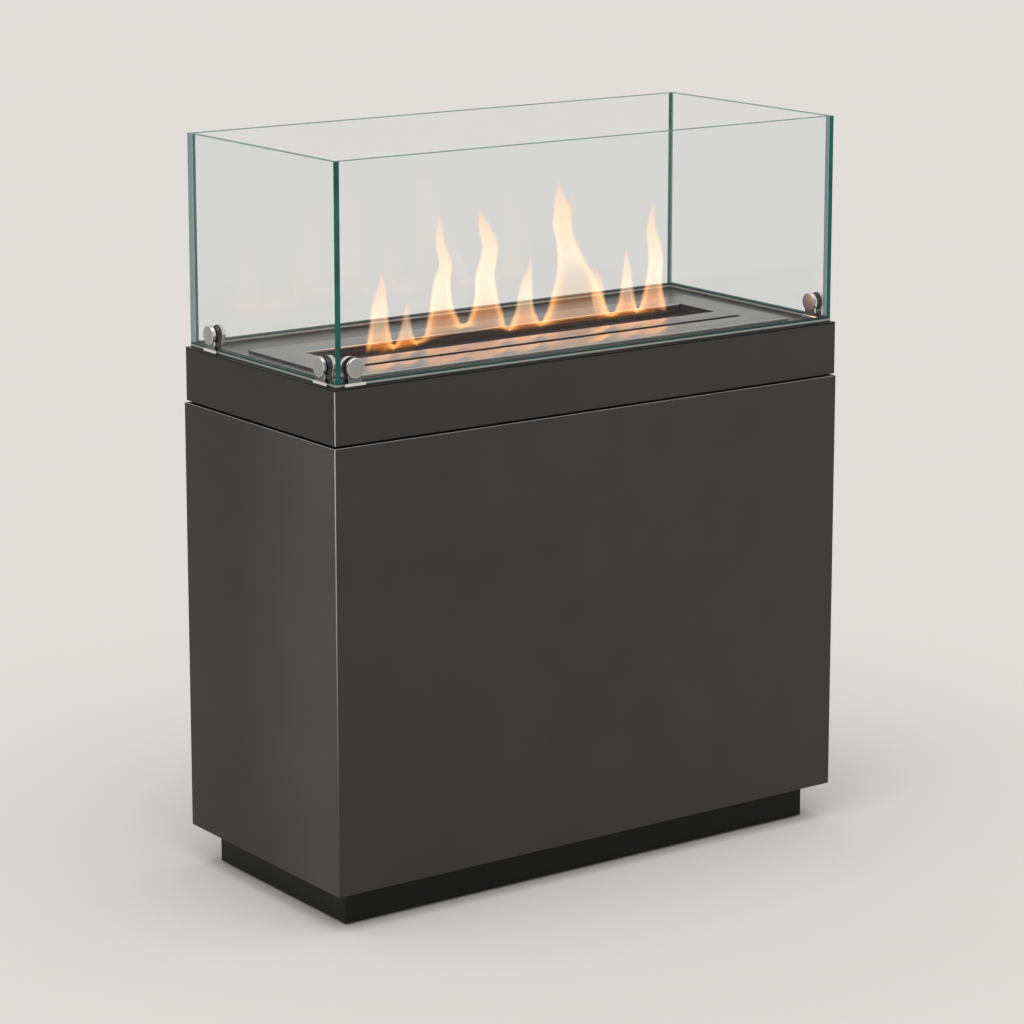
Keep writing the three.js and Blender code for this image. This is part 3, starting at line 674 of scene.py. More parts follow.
def paint_fold_highlights(shape, with_rims=True):
    """Gives the middle of every upright fold, and of every rounded top edge, the painted highlight.
    """
    shape.normal_update()
    steepest = 1 if with_rims else LEVEL
    for face in shape.faces:
        second_part = sorted(abs(part) for part in face.normal)[1]
        if second_part > BENT and -LEVEL < face.normal.z < steepest:
            face.material_index = 1


def fold_casing():
    low, high = corners_of("body_shell")
    shape = bmesh.new()
    path = [(high.x, high.y), (high.x, low.y), (low.x, low.y), (low.x, high.y)]
    raise_wall(shape, path, low.z, high.z)
    bends = [e for e in edges_along(shape.edges, 2) if len(e.link_faces) == 2]
    round_edges(shape, bends, FOLD_RADIUS, steps=6)
    front = next(f for f in shape.faces if abs(f.calc_center_median().x) < MM)
    if front.normal.y > 0:
        bmesh.ops.reverse_faces(shape, faces=shape.faces)
    bmesh.ops.solidify(shape, geom=list(shape.faces), thickness=SHEET)
    rims = [e for e in sharp_edges(shape) if abs(e.verts[0].co.z - e.verts[1].co.z) < MM]
    round_edges(shape, rims, CASING_RIM)
    # Painted highlight on the upright folds and on the rounded top edge.
    paint_fold_highlights(shape)
    finished_piece(
        "cabinet_casing", shape, "cabinet",
        [CABINET_COAT, PAINTED_FOLD_HIGHLIGHT], ["body_shell"],
    )


fold_casing()

# %% [markdown]
# ## Fascia
# The fascia is a box folded from sheet, open inside: a tall apron with a lip above and a flange
# below. It starts as a cube. Its top and bottom are inset, the middles are removed, the folds
# are rounded, and the skin is thickened inwards.

# %% Fold the fascia
TOP_LIP = 16 * MM
BOTTOM_FLANGE = 30 * MM
FASCIA_RIM = 0.9 * MM


def fold_fascia():
    low, high = corners_of("fascia_frame")
    shape = bmesh.new()
    block(shape, low, high)
    for level, width in ((high.z, TOP_LIP), (low.z, BOTTOM_FLANGE)):
        cap = next(f for f in shape.faces if abs(f.calc_center_median().z - level) < MM / 10)
        bmesh.ops.inset_region(shape, faces=[cap], thickness=width)
        bmesh.ops.delete(shape, geom=[cap], context="FACES")
    round_edges(shape, edges_along(sharp_edges(shape), 2), FOLD_RADIUS, steps=6)
    round_edges(shape, sharp_edges(shape), FASCIA_RIM)
    bmesh.ops.recalc_face_normals(shape, faces=shape.faces)
    wall = max(shape.faces, key=lambda f: f.calc_area())
    if wall.normal.xy.dot(wall.calc_center_median().xy) < 0:
        bmesh.ops.reverse_faces(shape, faces=shape.faces)
    # Painted highlight on the middle of each upright fold, not on the rims.
    paint_fold_highlights(shape, with_rims=False)
    bmesh.ops.solidify(shape, geom=list(shape.faces), thickness=SHEET)
    finished_piece(
        "fascia_apron", shape, "cabinet",
        [FASCIA_COAT, PAINTED_FOLD_HIGHLIGHT], ["fascia_frame"],
    )


fold_fascia()

# %% [markdown]
# ## Ledge, cover plate and damper
# These are flat sheets with rectangular cut-outs. One face is divided by cutting planes along
# the sides of every hole, the faces inside the holes are removed, and the rest is raised to its
# thickness. The corners of the holes and of the plate are rounded as a laser leaves them, and
# every rim is broken by a fine rounding. The long cut edges of the cover are polished bright and
# carry a painted highlight for its bright outlines. Its short cut edges, the walls of the slot and
# all cut edges of the ledge get a painted shade, a dark finish in place of the shade on them.

# %% Cut and raise the plates
SLOT_REACH = 3 * MM
CORNER_ANGLE = 1
FLAT = 0.93


def grown(hole, reach):
    """A hole (x0, x1, y0, y1) with each side moved outwards, or inwards by a negative reach."""
    x0, x1, y0, y1 = hole
    return x0 - reach, x1 + reach, y0 - reach, y1 + reach


def footprint(node):
    low, high = corners_of(node)
    return low.x, high.x, low.y, high.y


def flat_piece(name, node, finishes, holes, corner, rim):
    """A sheet with its face finish, the finish of its long cut edges, and the painted shade of its
    short cut edges and slot walls.
    """
    low, high = corners_of(node)
    shape = bmesh.new()
    pierced_sheet(shape, low, high, holes)
    posts = [e for e in edges_along(shape.edges, 2) if e.calc_face_angle(0) > CORNER_ANGLE]
    round_edges(shape, posts, corner, steps=4)
    round_edges(shape, sharp_edges(shape), rim)
    shape.normal_update()
    slots = [grown(hole, SLOT_REACH) for hole in holes[1:]]
    for face in shape.faces:
        # Long cut edges take the second finish; short ones and slot walls take the third, a painted
        # shade.
        if abs(face.normal.z) < FLAT:
            lengthwise = abs(face.normal.y) > abs(face.normal.x)
            in_slot = any(inside(face.calc_center_median(), slot_hole) for slot_hole in slots)
            face.material_index = 1 if lengthwise and not in_slot else 2
    finished_piece(name, shape, body_of(node), finishes, [node])


SHIELD_OVERHANG = 15.5 * MM
MESH_MARGIN = 0.7 * MM
SLOT_SETBACK = 43 * MM
SLOT_WIDTH = 12 * MM
SLOT_OVERRUN = 9 * MM
opening = grown(footprint("burner_mesh"), -MESH_MARGIN)
slot_rear = opening[2] - SLOT_SETBACK
air_slot = (
    opening[0] - SLOT_OVERRUN, opening[1] + SLOT_OVERRUN, slot_rear - SLOT_WIDTH, slot_rear,
)
flat_piece(
    "ledge_top", "ledge_plate", [LEDGE_STEEL, PAINTED_SHADE_EDGE, PAINTED_SHADE_EDGE],
    [grown(footprint("heat_shield"), -SHIELD_OVERHANG)], corner=2.2 * MM, rim=0.4 * MM,
)
flat_piece(
    "burner_cover", "cover_plate", [COVER_STEEL, CUT_STEEL_HIGHLIGHT, PAINTED_SHADE_EDGE],
    [opening, air_slot], corner=1.5 * MM, rim=1.1 * MM,
)
print("flame opening in mm:", [round(v / MM, 1) for v in opening])

# %% [markdown]
# The damper is a plain plate under the cover with a small upright lip. The lip stands in the
# flame opening, and the user pushes it from the front edge to the rear edge to shut the fire in.

# %% Damper with its push lip
DAMPER_SHEET = 1.5 * MM
LIP_HALF = 30 * MM
LIP_THICKNESS = 1.5 * MM
LIP_PLAY = 0.6 * MM
LIP_ROOT = 0.4 * MM


def make_damper():
    low, high = corners_of("damper")
    plate_top = low.z + DAMPER_SHEET
    lip_front = opening[2] + LIP_PLAY
    shape = bmesh.new()
    block(shape, low, (high.x, high.y, plate_top))
    block(
        shape, (-LIP_HALF, lip_front, plate_top - LIP_ROOT),
        (LIP_HALF, lip_front + LIP_THICKNESS, high.z),
    )
    round_edges(shape, sharp_edges(shape), 0.3 * MM, steps=2)
    finished_piece("damper_plate", shape, "damper", [BURNER_STEEL], ["damper"])


make_damper()

# %% [markdown]
# ## Burner mesh
# The mesh is sheet steel punched with fine holes about 8 mm apart. Hundreds of holes are a
# pattern, so one operator makes them all: every face of a grid is inset on its own, and the
# inner faces are deleted. Each cell keeps only a few faces.

# %% Punch the mesh
HOLE_PITCH = 8 * MM
HOLE_SIZE = 5.2 * MM
MESH_LOW, MESH_HIGH = corners_of("burner_mesh")


def punch_mesh():
    size = MESH_HIGH - MESH_LOW
    middle = (MESH_LOW + MESH_HIGH) / 2
    columns = round(size.x / HOLE_PITCH)
    rows = round(size.y / HOLE_PITCH)
    shape = bmesh.new()
    bmesh.ops.create_grid(shape, x_segments=columns, y_segments=rows, size=0.5)
    bmesh.ops.scale(shape, vec=(size.x, size.y, 1), verts=shape.verts)
    bmesh.ops.translate(shape, vec=(middle.x, middle.y, MESH_HIGH.z), verts=shape.verts)
    cells = list(shape.faces)
    web = (min(size.x / columns, size.y / rows) - HOLE_SIZE) / 2
    bmesh.ops.inset_individual(shape, faces=cells, thickness=web)
    bmesh.ops.delete(shape, geom=cells, context="FACES")
    bmesh.ops.solidify(shape, geom=list(shape.faces), thickness=size.z)
    print("holes:", columns * rows)
    finished_piece("punched_mesh", shape, "burner", [MESH_STEEL], ["burner_mesh"])


punch_mesh()

# %% [markdown]
# ## Ceramic wool
# The block of fibres under the mesh has soft, uneven sides. Its box is divided into small faces,
# and every point is pulled inwards a little by a noise, so the block never grows.

# %% Roughen the wool
WOOL_ROUGHNESS = 0.9 * MM
WOOL_LUMP = 14 * MM
WOOL_CUTS = (60, 10, 4)


def make_wool():
    shape = bmesh.new()
    block(shape, *corners_of("ceramic_wool"))
    for axis, cuts in enumerate(WOOL_CUTS):
        lines = edges_along(shape.edges, axis)
        bmesh.ops.subdivide_edges(shape, edges=lines, cuts=cuts, use_grid_fill=True)
    shape.normal_update()
    for vert in shape.verts:
        lump = noise.noise(vert.co / WOOL_LUMP) * 0.5 + 0.5
        vert.co -= vert.normal * lump * WOOL_ROUGHNESS
    finished_piece(
        "fibre_block", shape, "burner",
        [CERAMIC_WOOL], ["ceramic_wool"], smooth_angle=60,
    )


make_wool()

# %% [markdown]
# ## Glass panes
# Each pane is a block with ground edges. A cut just above the bottom marks off the foot band on
# both broad faces. The holes for the clamp studs are drilled with a Boolean, whose result is
# kept as the piece's own mesh.

# %% Grind and drill the panes
FOOT_BAND = 1.4 * MM
ARRIS = 0.5 * MM
STUD_HOLE_RADIUS = 5.3 * MM
PANE_FINISHES = [GLASS_FACE, GLASS_FOOT, GLASS_EDGE, GLASS_JOINT]
CLAMPS = [name.removeprefix("clamp_cap_") for name in nodes_named("clamp_cap_")]


def clamp_facts(name):
    """Centre on the pane's middle plane, outward direction and pane of a clamp."""
    pane = name.split("_")[0]
    low, high = corners_of(f"clamp_cap_{name}")
    pane_low, pane_high = corners_of(f"glass_{pane}")
    centre = (low + high) / 2
    pane_middle = (pane_low + pane_high) / 2
    axis = 1 if pane in ("front", "back") else 0
    centre[axis] = pane_middle[axis]
    outward = Vector((0, 0, 0))
    outward[axis] = math.copysign(1, pane_middle[axis])
    return centre, outward, pane


def drill(piece, cutters):
    """Cuts other shapes out of a piece and keeps the result as its mesh."""
    bmesh.ops.recalc_face_normals(cutters, faces=cutters.faces)
    tool = placed("cutter", meshed("cutter", cutters))
    cut = piece.modifiers.new("drill", "BOOLEAN")
    cut.operation = "DIFFERENCE"
    cut.object = tool
    graph = bpy.context.evaluated_depsgraph_get()
    result = bpy.data.meshes.new_from_object(piece.evaluated_get(graph))
    piece.modifiers.clear()
    piece.data = result
    bpy.data.objects.remove(tool)


def rod_outline(radius, start, end):
    return [(0, start), (radius, start), (radius, end), (0, end)]


def pane_finish(face, side, thin, band_top):
    if abs(face.normal[thin]) > ALIGNED:
        return GLASS_FOOT if face.calc_center_median().z < band_top else GLASS_FACE
    bonded = side in ("front", "back") and abs(face.normal.x) > ALIGNED
    return GLASS_JOINT if bonded else GLASS_EDGE


def make_pane(side):
    low, high = corners_of(f"glass_{side}")
    size = high - low
    thin = 1 if size.y < size.x else 0
    band_top = low.z + FOOT_BAND
    shape = bmesh.new()
    block(shape, low, high)
    round_edges(shape, list(shape.edges), ARRIS, steps=1)
    divide(shape, (0, 0, band_top), (0, 0, 1))
    shape.normal_update()
    for face in shape.faces:
        face.material_index = PANE_FINISHES.index(pane_finish(face, side, thin, band_top))
    pane = finished_piece(
        f"pane_{side}", shape, "cabinet", PANE_FINISHES, [f"glass_{side}"],
        smooth_angle=20,
    )
    holes = bmesh.new()
    for centre, outward, on_pane in map(clamp_facts, CLAMPS):
        if on_pane == side:
            rod = rod_outline(STUD_HOLE_RADIUS, -size[thin], size[thin])
            turned(holes, rod, centre, outward, steps=24)
    if holes.verts:
        drill(pane, holes)


for side in ("front", "back", "left", "right"):
    make_pane(side)

# %% [markdown]
# ## Glass clamps
# A clamp is a small U-shaped shoe that stands on the ledge and straddles the pane, with an inner
# disc that grows out of its inner leg and an outer disc that screws through the glass. The discs
# are turned on a lathe, so a spun outline is the right tool: a satin face and a polished rim
# with rounded corners.

# %% Turn and join the clamps
DISC_RADIUS = 13.9 * MM
DISC_LENGTH = 5.5 * MM
JAW_LENGTH = 6 * MM
GRIP_FACE = 5.2 * MM
STUD_RADIUS = 4 * MM
SHOE_LENGTH = 34 * MM
SHOE_HEIGHT = 5.5 * MM
SHOE_BASE = 1.7 * MM
SHOE_INNER = 4.3 * MM
SHOE_WALL = 4 * MM
LEG_WIDTH = 22 * MM
LEG_THICKNESS = 3 * MM
STUD_OVERRUN = 4 * MM
DISC_CHAMFER = 0.3 * MM
DISC_ROUNDING = 0.8 * MM
# Millimetres in from the rim and back from the face, round the outer corner of a disc.
ROUNDED_CORNER = ((0, 0.8), (0.1, 0.4), (0.4, 0.1), (0.8, 0))


def disc_outline(start, length):
    """The lathe outline of a disc from its plain inner face to its dressed outer face."""
    end = start + length
    corner = [(DISC_RADIUS - inward * MM, end - back * MM) for inward, back in ROUNDED_CORNER]
    foot = [(0, start), (DISC_RADIUS - DISC_CHAMFER, start), (DISC_RADIUS, start + DISC_CHAMFER)]
    return [*foot, *corner, (0, end)]


def satin_faces(verts, centre, outward):
    """Gives the flat of a disc the satin finish and leaves its rim polished."""
    for face in {face for vert in verts for face in vert.link_faces}:
        middle = face.calc_center_median() - centre
        depth = middle.dot(outward)
        across = (middle - outward * depth).length
        if across < DISC_RADIUS - DISC_ROUNDING and abs(depth) > GRIP_FACE + MM:
            face.material_index = 1


def make_cap(name):
    centre, outward, _ = clamp_facts(name)
    shape = bmesh.new()
    disc = turned(shape, disc_outline(GRIP_FACE, DISC_LENGTH), centre, outward, steps=64)
    satin_faces(disc, centre, outward)
    stud = rod_outline(STUD_RADIUS, -GRIP_FACE - STUD_OVERRUN, GRIP_FACE + MM)
    turned(shape, stud, centre, outward, steps=24)
    finished_piece(
        f"clamp_disc_{name}", shape, "cabinet",
        [POLISHED_STEEL, DISC_FACE_STEEL], [f"clamp_cap_{name}"], smooth_angle=25,
    )


def hollow_leg(shape, near, far, bottom):
    """A leg whose top is hollowed out so that it follows the disc above it."""
    reach = DISC_RADIUS + 0.3 * MM
    block(shape, (near, -LEG_WIDTH / 2, bottom), (far, LEG_WIDTH / 2, 0))
    bmesh.ops.subdivide_edges(shape, edges=edges_along(shape.edges, 1), cuts=12, use_grid_fill=True)
    for vert in shape.verts:
        if vert.co.z > -MM:
            vert.co.z = -math.sqrt(reach**2 - vert.co.y**2)


def make_shoe(name):
    """Drawn round the origin with +X outwards, then turned and moved to its place on the pane."""
    centre, outward, _ = clamp_facts(name)
    bottom = corners_of(f"clamp_body_{name}")[0].z - centre.z
    outer = SHOE_INNER + SHOE_WALL
    half, leg = SHOE_LENGTH / 2, LEG_WIDTH / 2
    inner_leg = -GRIP_FACE - LEG_THICKNESS
    shape = bmesh.new()
    hollow_leg(shape, GRIP_FACE, GRIP_FACE + LEG_THICKNESS, bottom + MM)
    for near, far, side, foot, top in (
        (-outer, outer, half, bottom, bottom + SHOE_BASE),
        (SHOE_INNER, outer, half, bottom, bottom + SHOE_HEIGHT),
        (-outer, -SHOE_INNER, half, bottom, bottom + SHOE_HEIGHT),
        (inner_leg, -GRIP_FACE, leg, bottom + MM, 0),
    ):
        block(shape, (near, -side, foot), (far, side, top))
    round_edges(shape, sharp_edges(shape), 0.35 * MM, steps=2)
    shape.normal_update()
    for face in shape.faces:
        above_shoe = face.calc_center_median().z > bottom + SHOE_HEIGHT
        if above_shoe and abs(face.normal.x) > ALIGNED:
            face.material_index = 2
    turn = Matrix.Rotation(math.atan2(outward.y, outward.x), 3, "Z")
    bmesh.ops.rotate(shape, cent=(0, 0, 0), matrix=turn, verts=shape.verts)
    bmesh.ops.translate(shape, vec=centre, verts=shape.verts)
    jaw = turned(shape, disc_outline(GRIP_FACE, JAW_LENGTH), centre, -outward, steps=64)
    satin_faces(jaw, centre, outward)
    finished_piece(
        f"clamp_shoe_{name}", shape, "cabinet",
        [POLISHED_STEEL, DISC_FACE_STEEL, LEG_STEEL], [f"clamp_body_{name}"], smooth_angle=25,
    )


for name in CLAMPS:
    make_cap(name)
    make_shoe(name)
print("clamps:", len(CLAMPS))

# %% [markdown]
# ## Feet and screws
# The screw feet and the rear screws are small turned parts. A foot is spun from one outline; a
# screw head gets a hexagonal socket, drilled like the holes in the glass.

# %% Turn the feet
PAD_RADIUS, COLLAR_RADIUS, STEM_RADIUS = 20 * MM, 8 * MM, 4.85 * MM
PAD_TOP, COLLAR_TOP = 6 * MM, 9 * MM
THREAD_PITCH, THREAD_DEPTH = 1.5 * MM, 0.55 * MM
# Millimetres in from the rim and up from the floor, round the two corners of the pad.
PAD_CORNERS = ((1.5, 0), (0.4, 0.4), (0, 1.5), (0, 4.5), (0.4, 5.6), (1.5, 6))


def make_foot(name):
    low, high = corners_of(name)
    centre = (low + high) / 2
    pad = [(PAD_RADIUS - inward * MM, up * MM) for inward, up in PAD_CORNERS]
    outline = [(0, 0), *pad, (COLLAR_RADIUS, PAD_TOP), (COLLAR_RADIUS, COLLAR_TOP)]
    outline.append((STEM_RADIUS, COLLAR_TOP))
    level = COLLAR_TOP
    while level + THREAD_PITCH < high.z:
        outline.append((STEM_RADIUS - THREAD_DEPTH, level + THREAD_PITCH / 2))
        level += THREAD_PITCH
        outline.append((STEM_RADIUS, level))
    outline += [(STEM_RADIUS - MM, high.z), (0, high.z)]
    shape = bmesh.new()
    turned(shape, outline, (centre.x, centre.y, 0), (0, 0, 1), steps=40)
    finished_piece(f"levelling_{name}", shape, body_of(name), [FOOT_STEEL], [name])


for node in nodes_named("foot_"):
    if "nut" not in node:
        make_foot(node)

# %% Turn the rear screws
HEAD_RADIUS = 4.75 * MM
HEAD_HEIGHT = 2.5 * MM
HEAD_RIM = 0.5 * MM
SHANK_RADIUS = 2.4 * MM
SOCKET_RADIUS = 1.75 * MM
DOME_ANGLES = [math.radians(degrees) for degrees in range(0, 76, 15)]


def make_screw(name):
    low, high = corners_of(name)
    centre = (low + high) / 2
    seat = high.y - HEAD_HEIGHT
    place = Vector((centre.x, seat, centre.z))
    dome = [
        (HEAD_RADIUS * math.cos(angle), HEAD_RIM + (HEAD_HEIGHT - HEAD_RIM) * math.sin(angle))
        for angle in DOME_ANGLES
    ]
    shank = rod_outline(SHANK_RADIUS, low.y - seat, 0)[:3]
    shape = bmesh.new()
    turned(shape, [*shank, (HEAD_RADIUS, 0), *dome, (0, dome[-1][1])], place, (0, 1, 0), steps=32)
    screw = finished_piece(
        name.replace("rear_screw", "button_screw"), shape, "cabinet",
        [FOOT_STEEL], [name],
    )
    socket = bmesh.new()
    turned(socket, rod_outline(SOCKET_RADIUS, MM, HEAD_HEIGHT + MM), place, (0, 1, 0), steps=6)
    drill(screw, socket)


for node in nodes_named("rear_screw"):
    make_screw(node)

# %% [markdown]
# ## Frame parts that keep their solids
# Tubes, trays and rails have the right shape already. They only need their finish and a slight
# softening of their edges. Their meshes arrive as loose triangles, so a Weld modifier joins them
# before a Bevel modifier rounds what is sharp, and Weighted Normal keeps the flats flat.

# %% Finish the remaining solids
KEPT = {
    "plinth_frame": (PLINTH_COAT, 0.5 * MM),
    "shadow_gap_spacer": (PLINTH_COAT, 0.3 * MM),
    "top_frame": (PLINTH_COAT, 0.3 * MM),
    "rear_panel": (CABINET_COAT, 0.3 * MM),
    "body_floor": (ZINC_STEEL, 0.3 * MM),
    "post_": (ZINC_STEEL, 0.4 * MM),
    "front_stiffener": (ZINC_STEEL, 0.3 * MM),
    "foot_nut_": (ZINC_STEEL, 0.4 * MM),
    "heat_shield": (BURNER_STEEL, 0.3 * MM),
    "fuel_tank": (BURNER_STEEL, 0.3 * MM),
    "damper_rail_": (BURNER_STEEL, 0.3 * MM),
    "glass_seal_": (SETTING_STRIP, 0.4 * MM),
    "clamp_gasket_": (BLACK_RUBBER, 0.1 * MM),
}


def finish_solid(node, material, softness):
    piece = frame["nodes"][node]
    if not piece.material_slots:
        piece.data.materials.append(material)
    for slot in piece.material_slots:
        slot.material = material
    weld = piece.modifiers.new("weld", "WELD")
    weld.merge_threshold = 0.005 * MM
    bevel = piece.modifiers.new("soft_edges", "BEVEL")
    bevel.width = softness
    bevel.segments = 2
    bevel.limit_method = "ANGLE"
    bevel.angle_limit = math.radians(40)
    smooth = piece.modifiers.new("flat_faces", "WEIGHTED_NORMAL")
    smooth.keep_sharp = True


for start, (material, softness) in KEPT.items():
    for node in nodes_named(start):
        finish_solid(node, material, softness)
print("solids finished in place:", sum(len(nodes_named(start)) for start in KEPT))

# %% [markdown]
# ## Flames
# A bioethanol flame is a thin, hollow sheet of glowing gas: transparent and orange low down,
# bright along its sides, and a solid cream tongue above. It adds light to whatever is behind
# it. Each flame here is a stack of nested skins around a leaning, tapering tongue. Neighbours
# share a foot, and their hot rims meet there in a round arch. Each skin is a little narrower and
# lower than the one around it, so at the feet they nest too. Every skin is clear and adds a
# little light of its own, so the layers pile up to a bright heart and thin out to soft edges,
# from any side. The light is painted on the points of the skins, because it follows each flame's
# own height and width.

# %% Describe the flames
# All in millimetres above the mesh. Each flame stands on two feet, (x, height), that it shares
# with its neighbours, and rises through levels of (height, middle along X, half width).
FEET = [
    (-269, 10.5), (-216, 15.5), (-176, 17.5), (-95, 33.5), (-10, 20.5), (47, 21.5),
    (181, 21.5), (226, 22.5), (289, 13.5),
]
FLAMES = [
    [(18.5, -241, 22.7), (33.5, -241, 19.4), (55.5, -241, 15.7), (76.5, -240, 13.6),
     (98.5, -237, 7.4), (125.5, -236, 0.8)],
    [(20.0, -195, 16.2), (28.5, -195, 12.9), (42.5, -194, 9.2), (57.5, -194, 5.8),
     (76.5, -193, 0.8)],
    [(43.5, -130, 27.8), (58.5, -132, 21.5), (73.5, -133, 18.5), (102.5, -131, 15.1),
     (121.5, -125, 12.2),
     (131.5, -126, 10.9), (153.5, -133, 8.8), (176.5, -136, 5.9), (199.5, -135, 0.8)],
    [(42.5, -53, 30.6), (57.5, -53, 24.1), (72.5, -53, 20.1), (102.5, -55, 17.5),
     (124.5, -49, 15.8),
     (145.5, -46, 13.7), (161.5, -51, 12.8), (187.5, -61, 6.4), (204.5, -62, 0.8)],
    [(28.5, 17, 24.0), (43.5, 17, 17.3), (65.5, 18, 13.4), (87.5, 21, 10.0), (102.5, 26, 4.8),
     (124.5, 28, 0.8)],
    [(28.5, 112, 60.0), (40.5, 113, 54.0), (63.5, 111, 44.0), (86.5, 109, 34.5),
     (109.5, 102, 24.9), (140.5, 92, 17.5), (163.5, 85, 17.1), (186.5, 85, 15.0),
     (209.5, 80, 7.9), (230.5, 79, 0.8)],
    [(29.5, 206, 18.9), (38.5, 207, 15.7), (61.5, 207, 11.2), (84.5, 207, 8.1),
     (107.5, 206, 3.6), (121.5, 205, 0.8)],
    [(28.5, 257, 23.8), (41.5, 257, 20.0), (64.5, 259, 15.4), (94.5, 262, 14.0), (117.5, 259, 12.7),
     (141.5, 253, 9.5), (164.5, 254, 5.4), (183.5, 256, 0.8)],
]
# Side tongues that grow out of the tallest flame.
SIDE_TONGUES = [
    [(120, 93, 4), (150, 95, 9), (168, 97, 9.5), (186, 99, 8), (198, 101, 4.8), (207, 102, 0.8)],
    [(8, 158, 3), (28, 155, 9), (47, 153, 12.5), (66, 151.5, 11), (81, 150.5, 6.5),
     (93, 149.5, 0.8)],
]
SIDE_STRENGTHS = [0.3, 0.85]
FLAME_BASE = MESH_HIGH.z + 0.5 * MM
FLAME_MIDDLE = (MESH_LOW.y + MESH_HIGH.y) / 2
SKIRT = 9
# Steps inward and upward, as shares, along the round arch from a foot into the flame above it.
ARCH = [(0, 0), (0.15, 0.0), (0.45, 0.06), (0.75, 0.28)]


def between(first, second, share):
    return [a + (b - a) * share for a, b in zip(first, second)]


def outline_of(levels, feet=None):
    """Pairs of points, left and right, from the bottom of a flame to its tip."""
    pairs = [((middle - half, height), (middle + half, height)) for height, middle, half in levels]
    if feet:
        steps = [
            [
                (foot[0] + (start[0] - foot[0]) * inward, foot[1] + (start[1] - foot[1]) * upward)
                for foot, start in zip(feet, pairs[0])
            ]
            for inward, upward in ARCH
        ]
        pairs = [[(x, height - SKIRT) for x, height in feet], *steps, *pairs]
    return pairs


def on_curve(points, place):
    """A point on the smooth curve through a list; place 1.5 is half way after the second."""
    last = len(points) - 1
    i = min(int(place), last - 1)
    t = place - i
    a, b, c, d = (Vector(points[min(max(i + step, 0), last)]) for step in (-1, 0, 1, 2))
    place = 2 * b + (c - a) * t
    place += (2 * a - 5 * b + 4 * c - d) * t**2
    place += (3 * b - a - 3 * c + d) * t**3
    return 0.5 * place


print("flames:", len(FLAMES), "side tongues:", len(SIDE_TONGUES))

# The light of one layer: a rim that burns bright orange low down and fades to peach higher up,
# and a heart that is nearly clear at the bottom and cream above. Both fade out at the tip and in
# the skirt under the feet. In an arch between two flames the rim burns wider.

# %% Light of a layer
LOW_HEART = (0.074, 0.0205, 0.0008)
CREAM_HEART = (0.046, 0.0335, 0.0225)
PEACH_TIP = (0.052, 0.0160, 0.0020)
HOT_RIM = (0.135, 0.0760, 0.0270)
WARM_RIM = (0.050, 0.0150, 0.0010)
# Where the light changes, as shares of a flame's height, and the millimetres an arch glows.
CLEAR_SHARE = 0.34
PEACH_START, PEACH_LENGTH = 0.35, 0.6
TIP_START, TIP_LENGTH = 0.8, 0.2
ARCH_GLOW = 2.5
# How sharp the rims are, and how much light the tips, wide feet and skirts keep or lose.
RIM_SHARPNESS, ARCH_SOFTNESS = 8, 3
TIP_LOSS, WIDE_LOSS, SKIRT_HEART = 0.45, 0.7, 0.35


def eased(value):
    value = min(max(value, 0), 1)
    return value * value * (3 - 2 * value)


def layer_light(share, side, above, root, wide):
    """share runs from 0 at the feet to 1 at the tip, side from 0 in front to 1 at the rim."""
    arch = math.exp(-((above / ARCH_GLOW) ** 2))
    rim = side ** (RIM_SHARPNESS - ARCH_SOFTNESS * arch)
    heart = between(LOW_HEART, CREAM_HEART, eased(share / CLEAR_SHARE))
    heart = between(heart, PEACH_TIP, eased((share - PEACH_START) / PEACH_LENGTH))
    low = math.exp(-((share / CLEAR_SHARE) ** 2)) * (0.8 + 0.1 * arch)
    fade = (1 - TIP_LOSS * eased((share - TIP_START) / TIP_LENGTH)) * root
    skirt = eased(1 + min(above, 0) / SKIRT)
    filled = 1 if above >= 0 else SKIRT_HEART
    heart_share = fade * skirt * (1 - WIDE_LOSS * wide) * filled
    return [
        h * heart_share + hot * rim * low * root * skirt**5 + warm * rim * fade * skirt**4
        for h, hot, warm in zip(heart, HOT_RIM, WARM_RIM)
    ]


print("light at the rim of an arch:", [round(part, 3) for part in layer_light(0, 1, 0, 1, 0)])

# %% [markdown]
# A skin starts as a flat grid, one column for each direction and one row for each height. The
# grid is rolled up into a tube whose rings run between the left and right outline of the flame,
# and the seam is merged. The depth of a ring grows with its width, up to a limit, because the
# burner is a line.

# %% Roll up the skins
SKINS = 5
SKIN_STEP = 1.1
RING_POINTS = 28
ROWS_PER_LEVEL = 5
# The lengths below are in millimetres too.
NARROWED_OVER = 9
OUTER_FLAMES = 230
OUTER_FADE = 12
WIDE_START, WIDE_LENGTH = 14, 22
DEPTH_SHARE, DEEPEST, THINNEST = 0.45, 11, 0.25
TONGUE_ROOT = 0.6


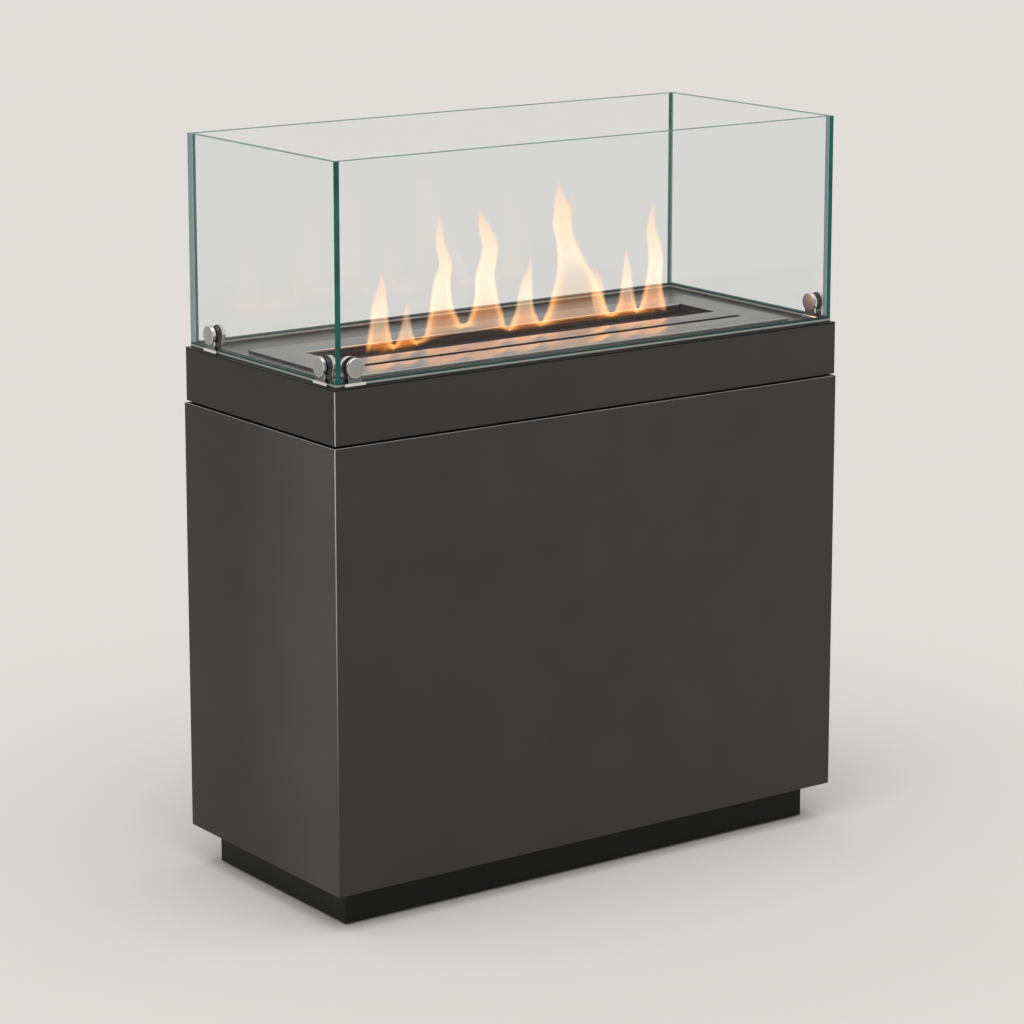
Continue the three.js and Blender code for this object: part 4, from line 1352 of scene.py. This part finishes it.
def roll_skin(pairs, skin, rooted, strength):
    """One skin of a flame, with its light painted on its points."""
    inset = skin * SKIN_STEP
    lefts, rights = zip(*pairs)
    levels = len(pairs) - 1
    low_left, low_right = lefts[rooted][1], rights[rooted][1]
    tip = lefts[-1][1]
    shape = bmesh.new()
    light = shape.verts.layers.float_color.new("flame_light")
    bmesh.ops.create_grid(
        shape, x_segments=RING_POINTS, y_segments=levels * ROWS_PER_LEVEL, size=0.5
    )
    for vert in shape.verts:
        angle = (vert.co.x + 0.5) * math.tau
        place = (vert.co.y + 0.5) * levels
        left, right = on_curve(lefts, place), on_curve(rights, place)
        middle = (left + right) / 2
        lean = math.cos(angle)
        height = middle.y + (right.y - left.y) / 2 * lean
        foot = low_left + (low_right - low_left) * (lean + 1) / 2
        above = height - foot
        share = above / (tip - foot)
        narrowed = inset * eased(above / NARROWED_OVER) if rooted else inset
        half = max((right.x - left.x) / 2 - narrowed, THINNEST)
        deep = max(min(DEPTH_SHARE * half, DEEPEST) - inset / 2, THINNEST)
        root = strength if rooted else strength * eased(share / TONGUE_ROOT)
        if above < OUTER_FADE and lean * middle.x > 0 and abs(middle.x) > OUTER_FLAMES:
            root *= eased(above / OUTER_FADE)
        wide = eased((half - WIDE_START) / WIDE_LENGTH)
        vert[light] = (*layer_light(max(share, 0), abs(lean), above, root, wide), 1)
        vert.co = (
            (middle.x + half * lean) * MM,
            FLAME_MIDDLE + deep * math.sin(angle) * MM,
            FLAME_BASE + max(height - inset, 0) * MM,
        )
    bmesh.ops.remove_doubles(shape, verts=shape.verts, dist=SAME_PLACE)
    return shape


def all_skins():
    feet = zip(FEET, FEET[1:])
    outlines = [(outline_of(levels, pair), True, 1.0) for levels, pair in zip(FLAMES, feet)]
    outlines += [
        (outline_of(levels), False, share) for levels, share in zip(SIDE_TONGUES, SIDE_STRENGTHS)
    ]
    together = bmesh.new()
    for pairs, rooted, strength in outlines:
        for skin in range(SKINS):
            mesh = meshed("skin", roll_skin(pairs, skin, rooted, strength))
            together.from_mesh(mesh)
            bpy.data.meshes.remove(mesh)
    return together


print("skins:", (len(FLAMES) + len(SIDE_TONGUES)) * SKINS)

# %% [markdown]
# The skins glow and let rays through. The tint takes a little blue away, which gives the peach
# edge in front of a pale wall. A camera clips a flame long before its real brightness, so what
# the steel mirrors is stronger and deeper orange than what the camera sees directly.

# %% Flame finish
MIRRORED_GLOW = (2.7, 2.1, 1.2)


def flame_glow():
    material = cleared(bpy.data.materials.new("flame_glow"))
    painted = add_node(material, "Attribute", {}, attribute_name="flame_light").outputs["Color"]
    from_camera = add_node(material, "LightPath", {}).outputs["Is Camera Ray"]
    mirrored = add_node(
        material, "VectorMath", {0: painted, 1: MIRRORED_GLOW}, operation="MULTIPLY"
    ).outputs["Vector"]
    colour = blended(from_camera, mirrored, painted)
    glow = add_node(material, "Emission", {"Color": colour}).outputs[0]
    through = add_node(material, "BsdfTransparent", {"Color": (1.0, 0.992, 0.981)}).outputs[0]
    both = add_node(material, "AddShader", {0: glow, 1: through}).outputs[0]
    add_node(material, "OutputMaterial", {"Surface": both})
    return material


flames = finished_piece("flames", all_skins(), "burner", [flame_glow()], smooth_angle=180)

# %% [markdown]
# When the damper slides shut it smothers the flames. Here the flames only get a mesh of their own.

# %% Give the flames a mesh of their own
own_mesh(flames)
print("flames reach in mm:", round(max(v.co.z for v in flames.data.vertices) / MM))
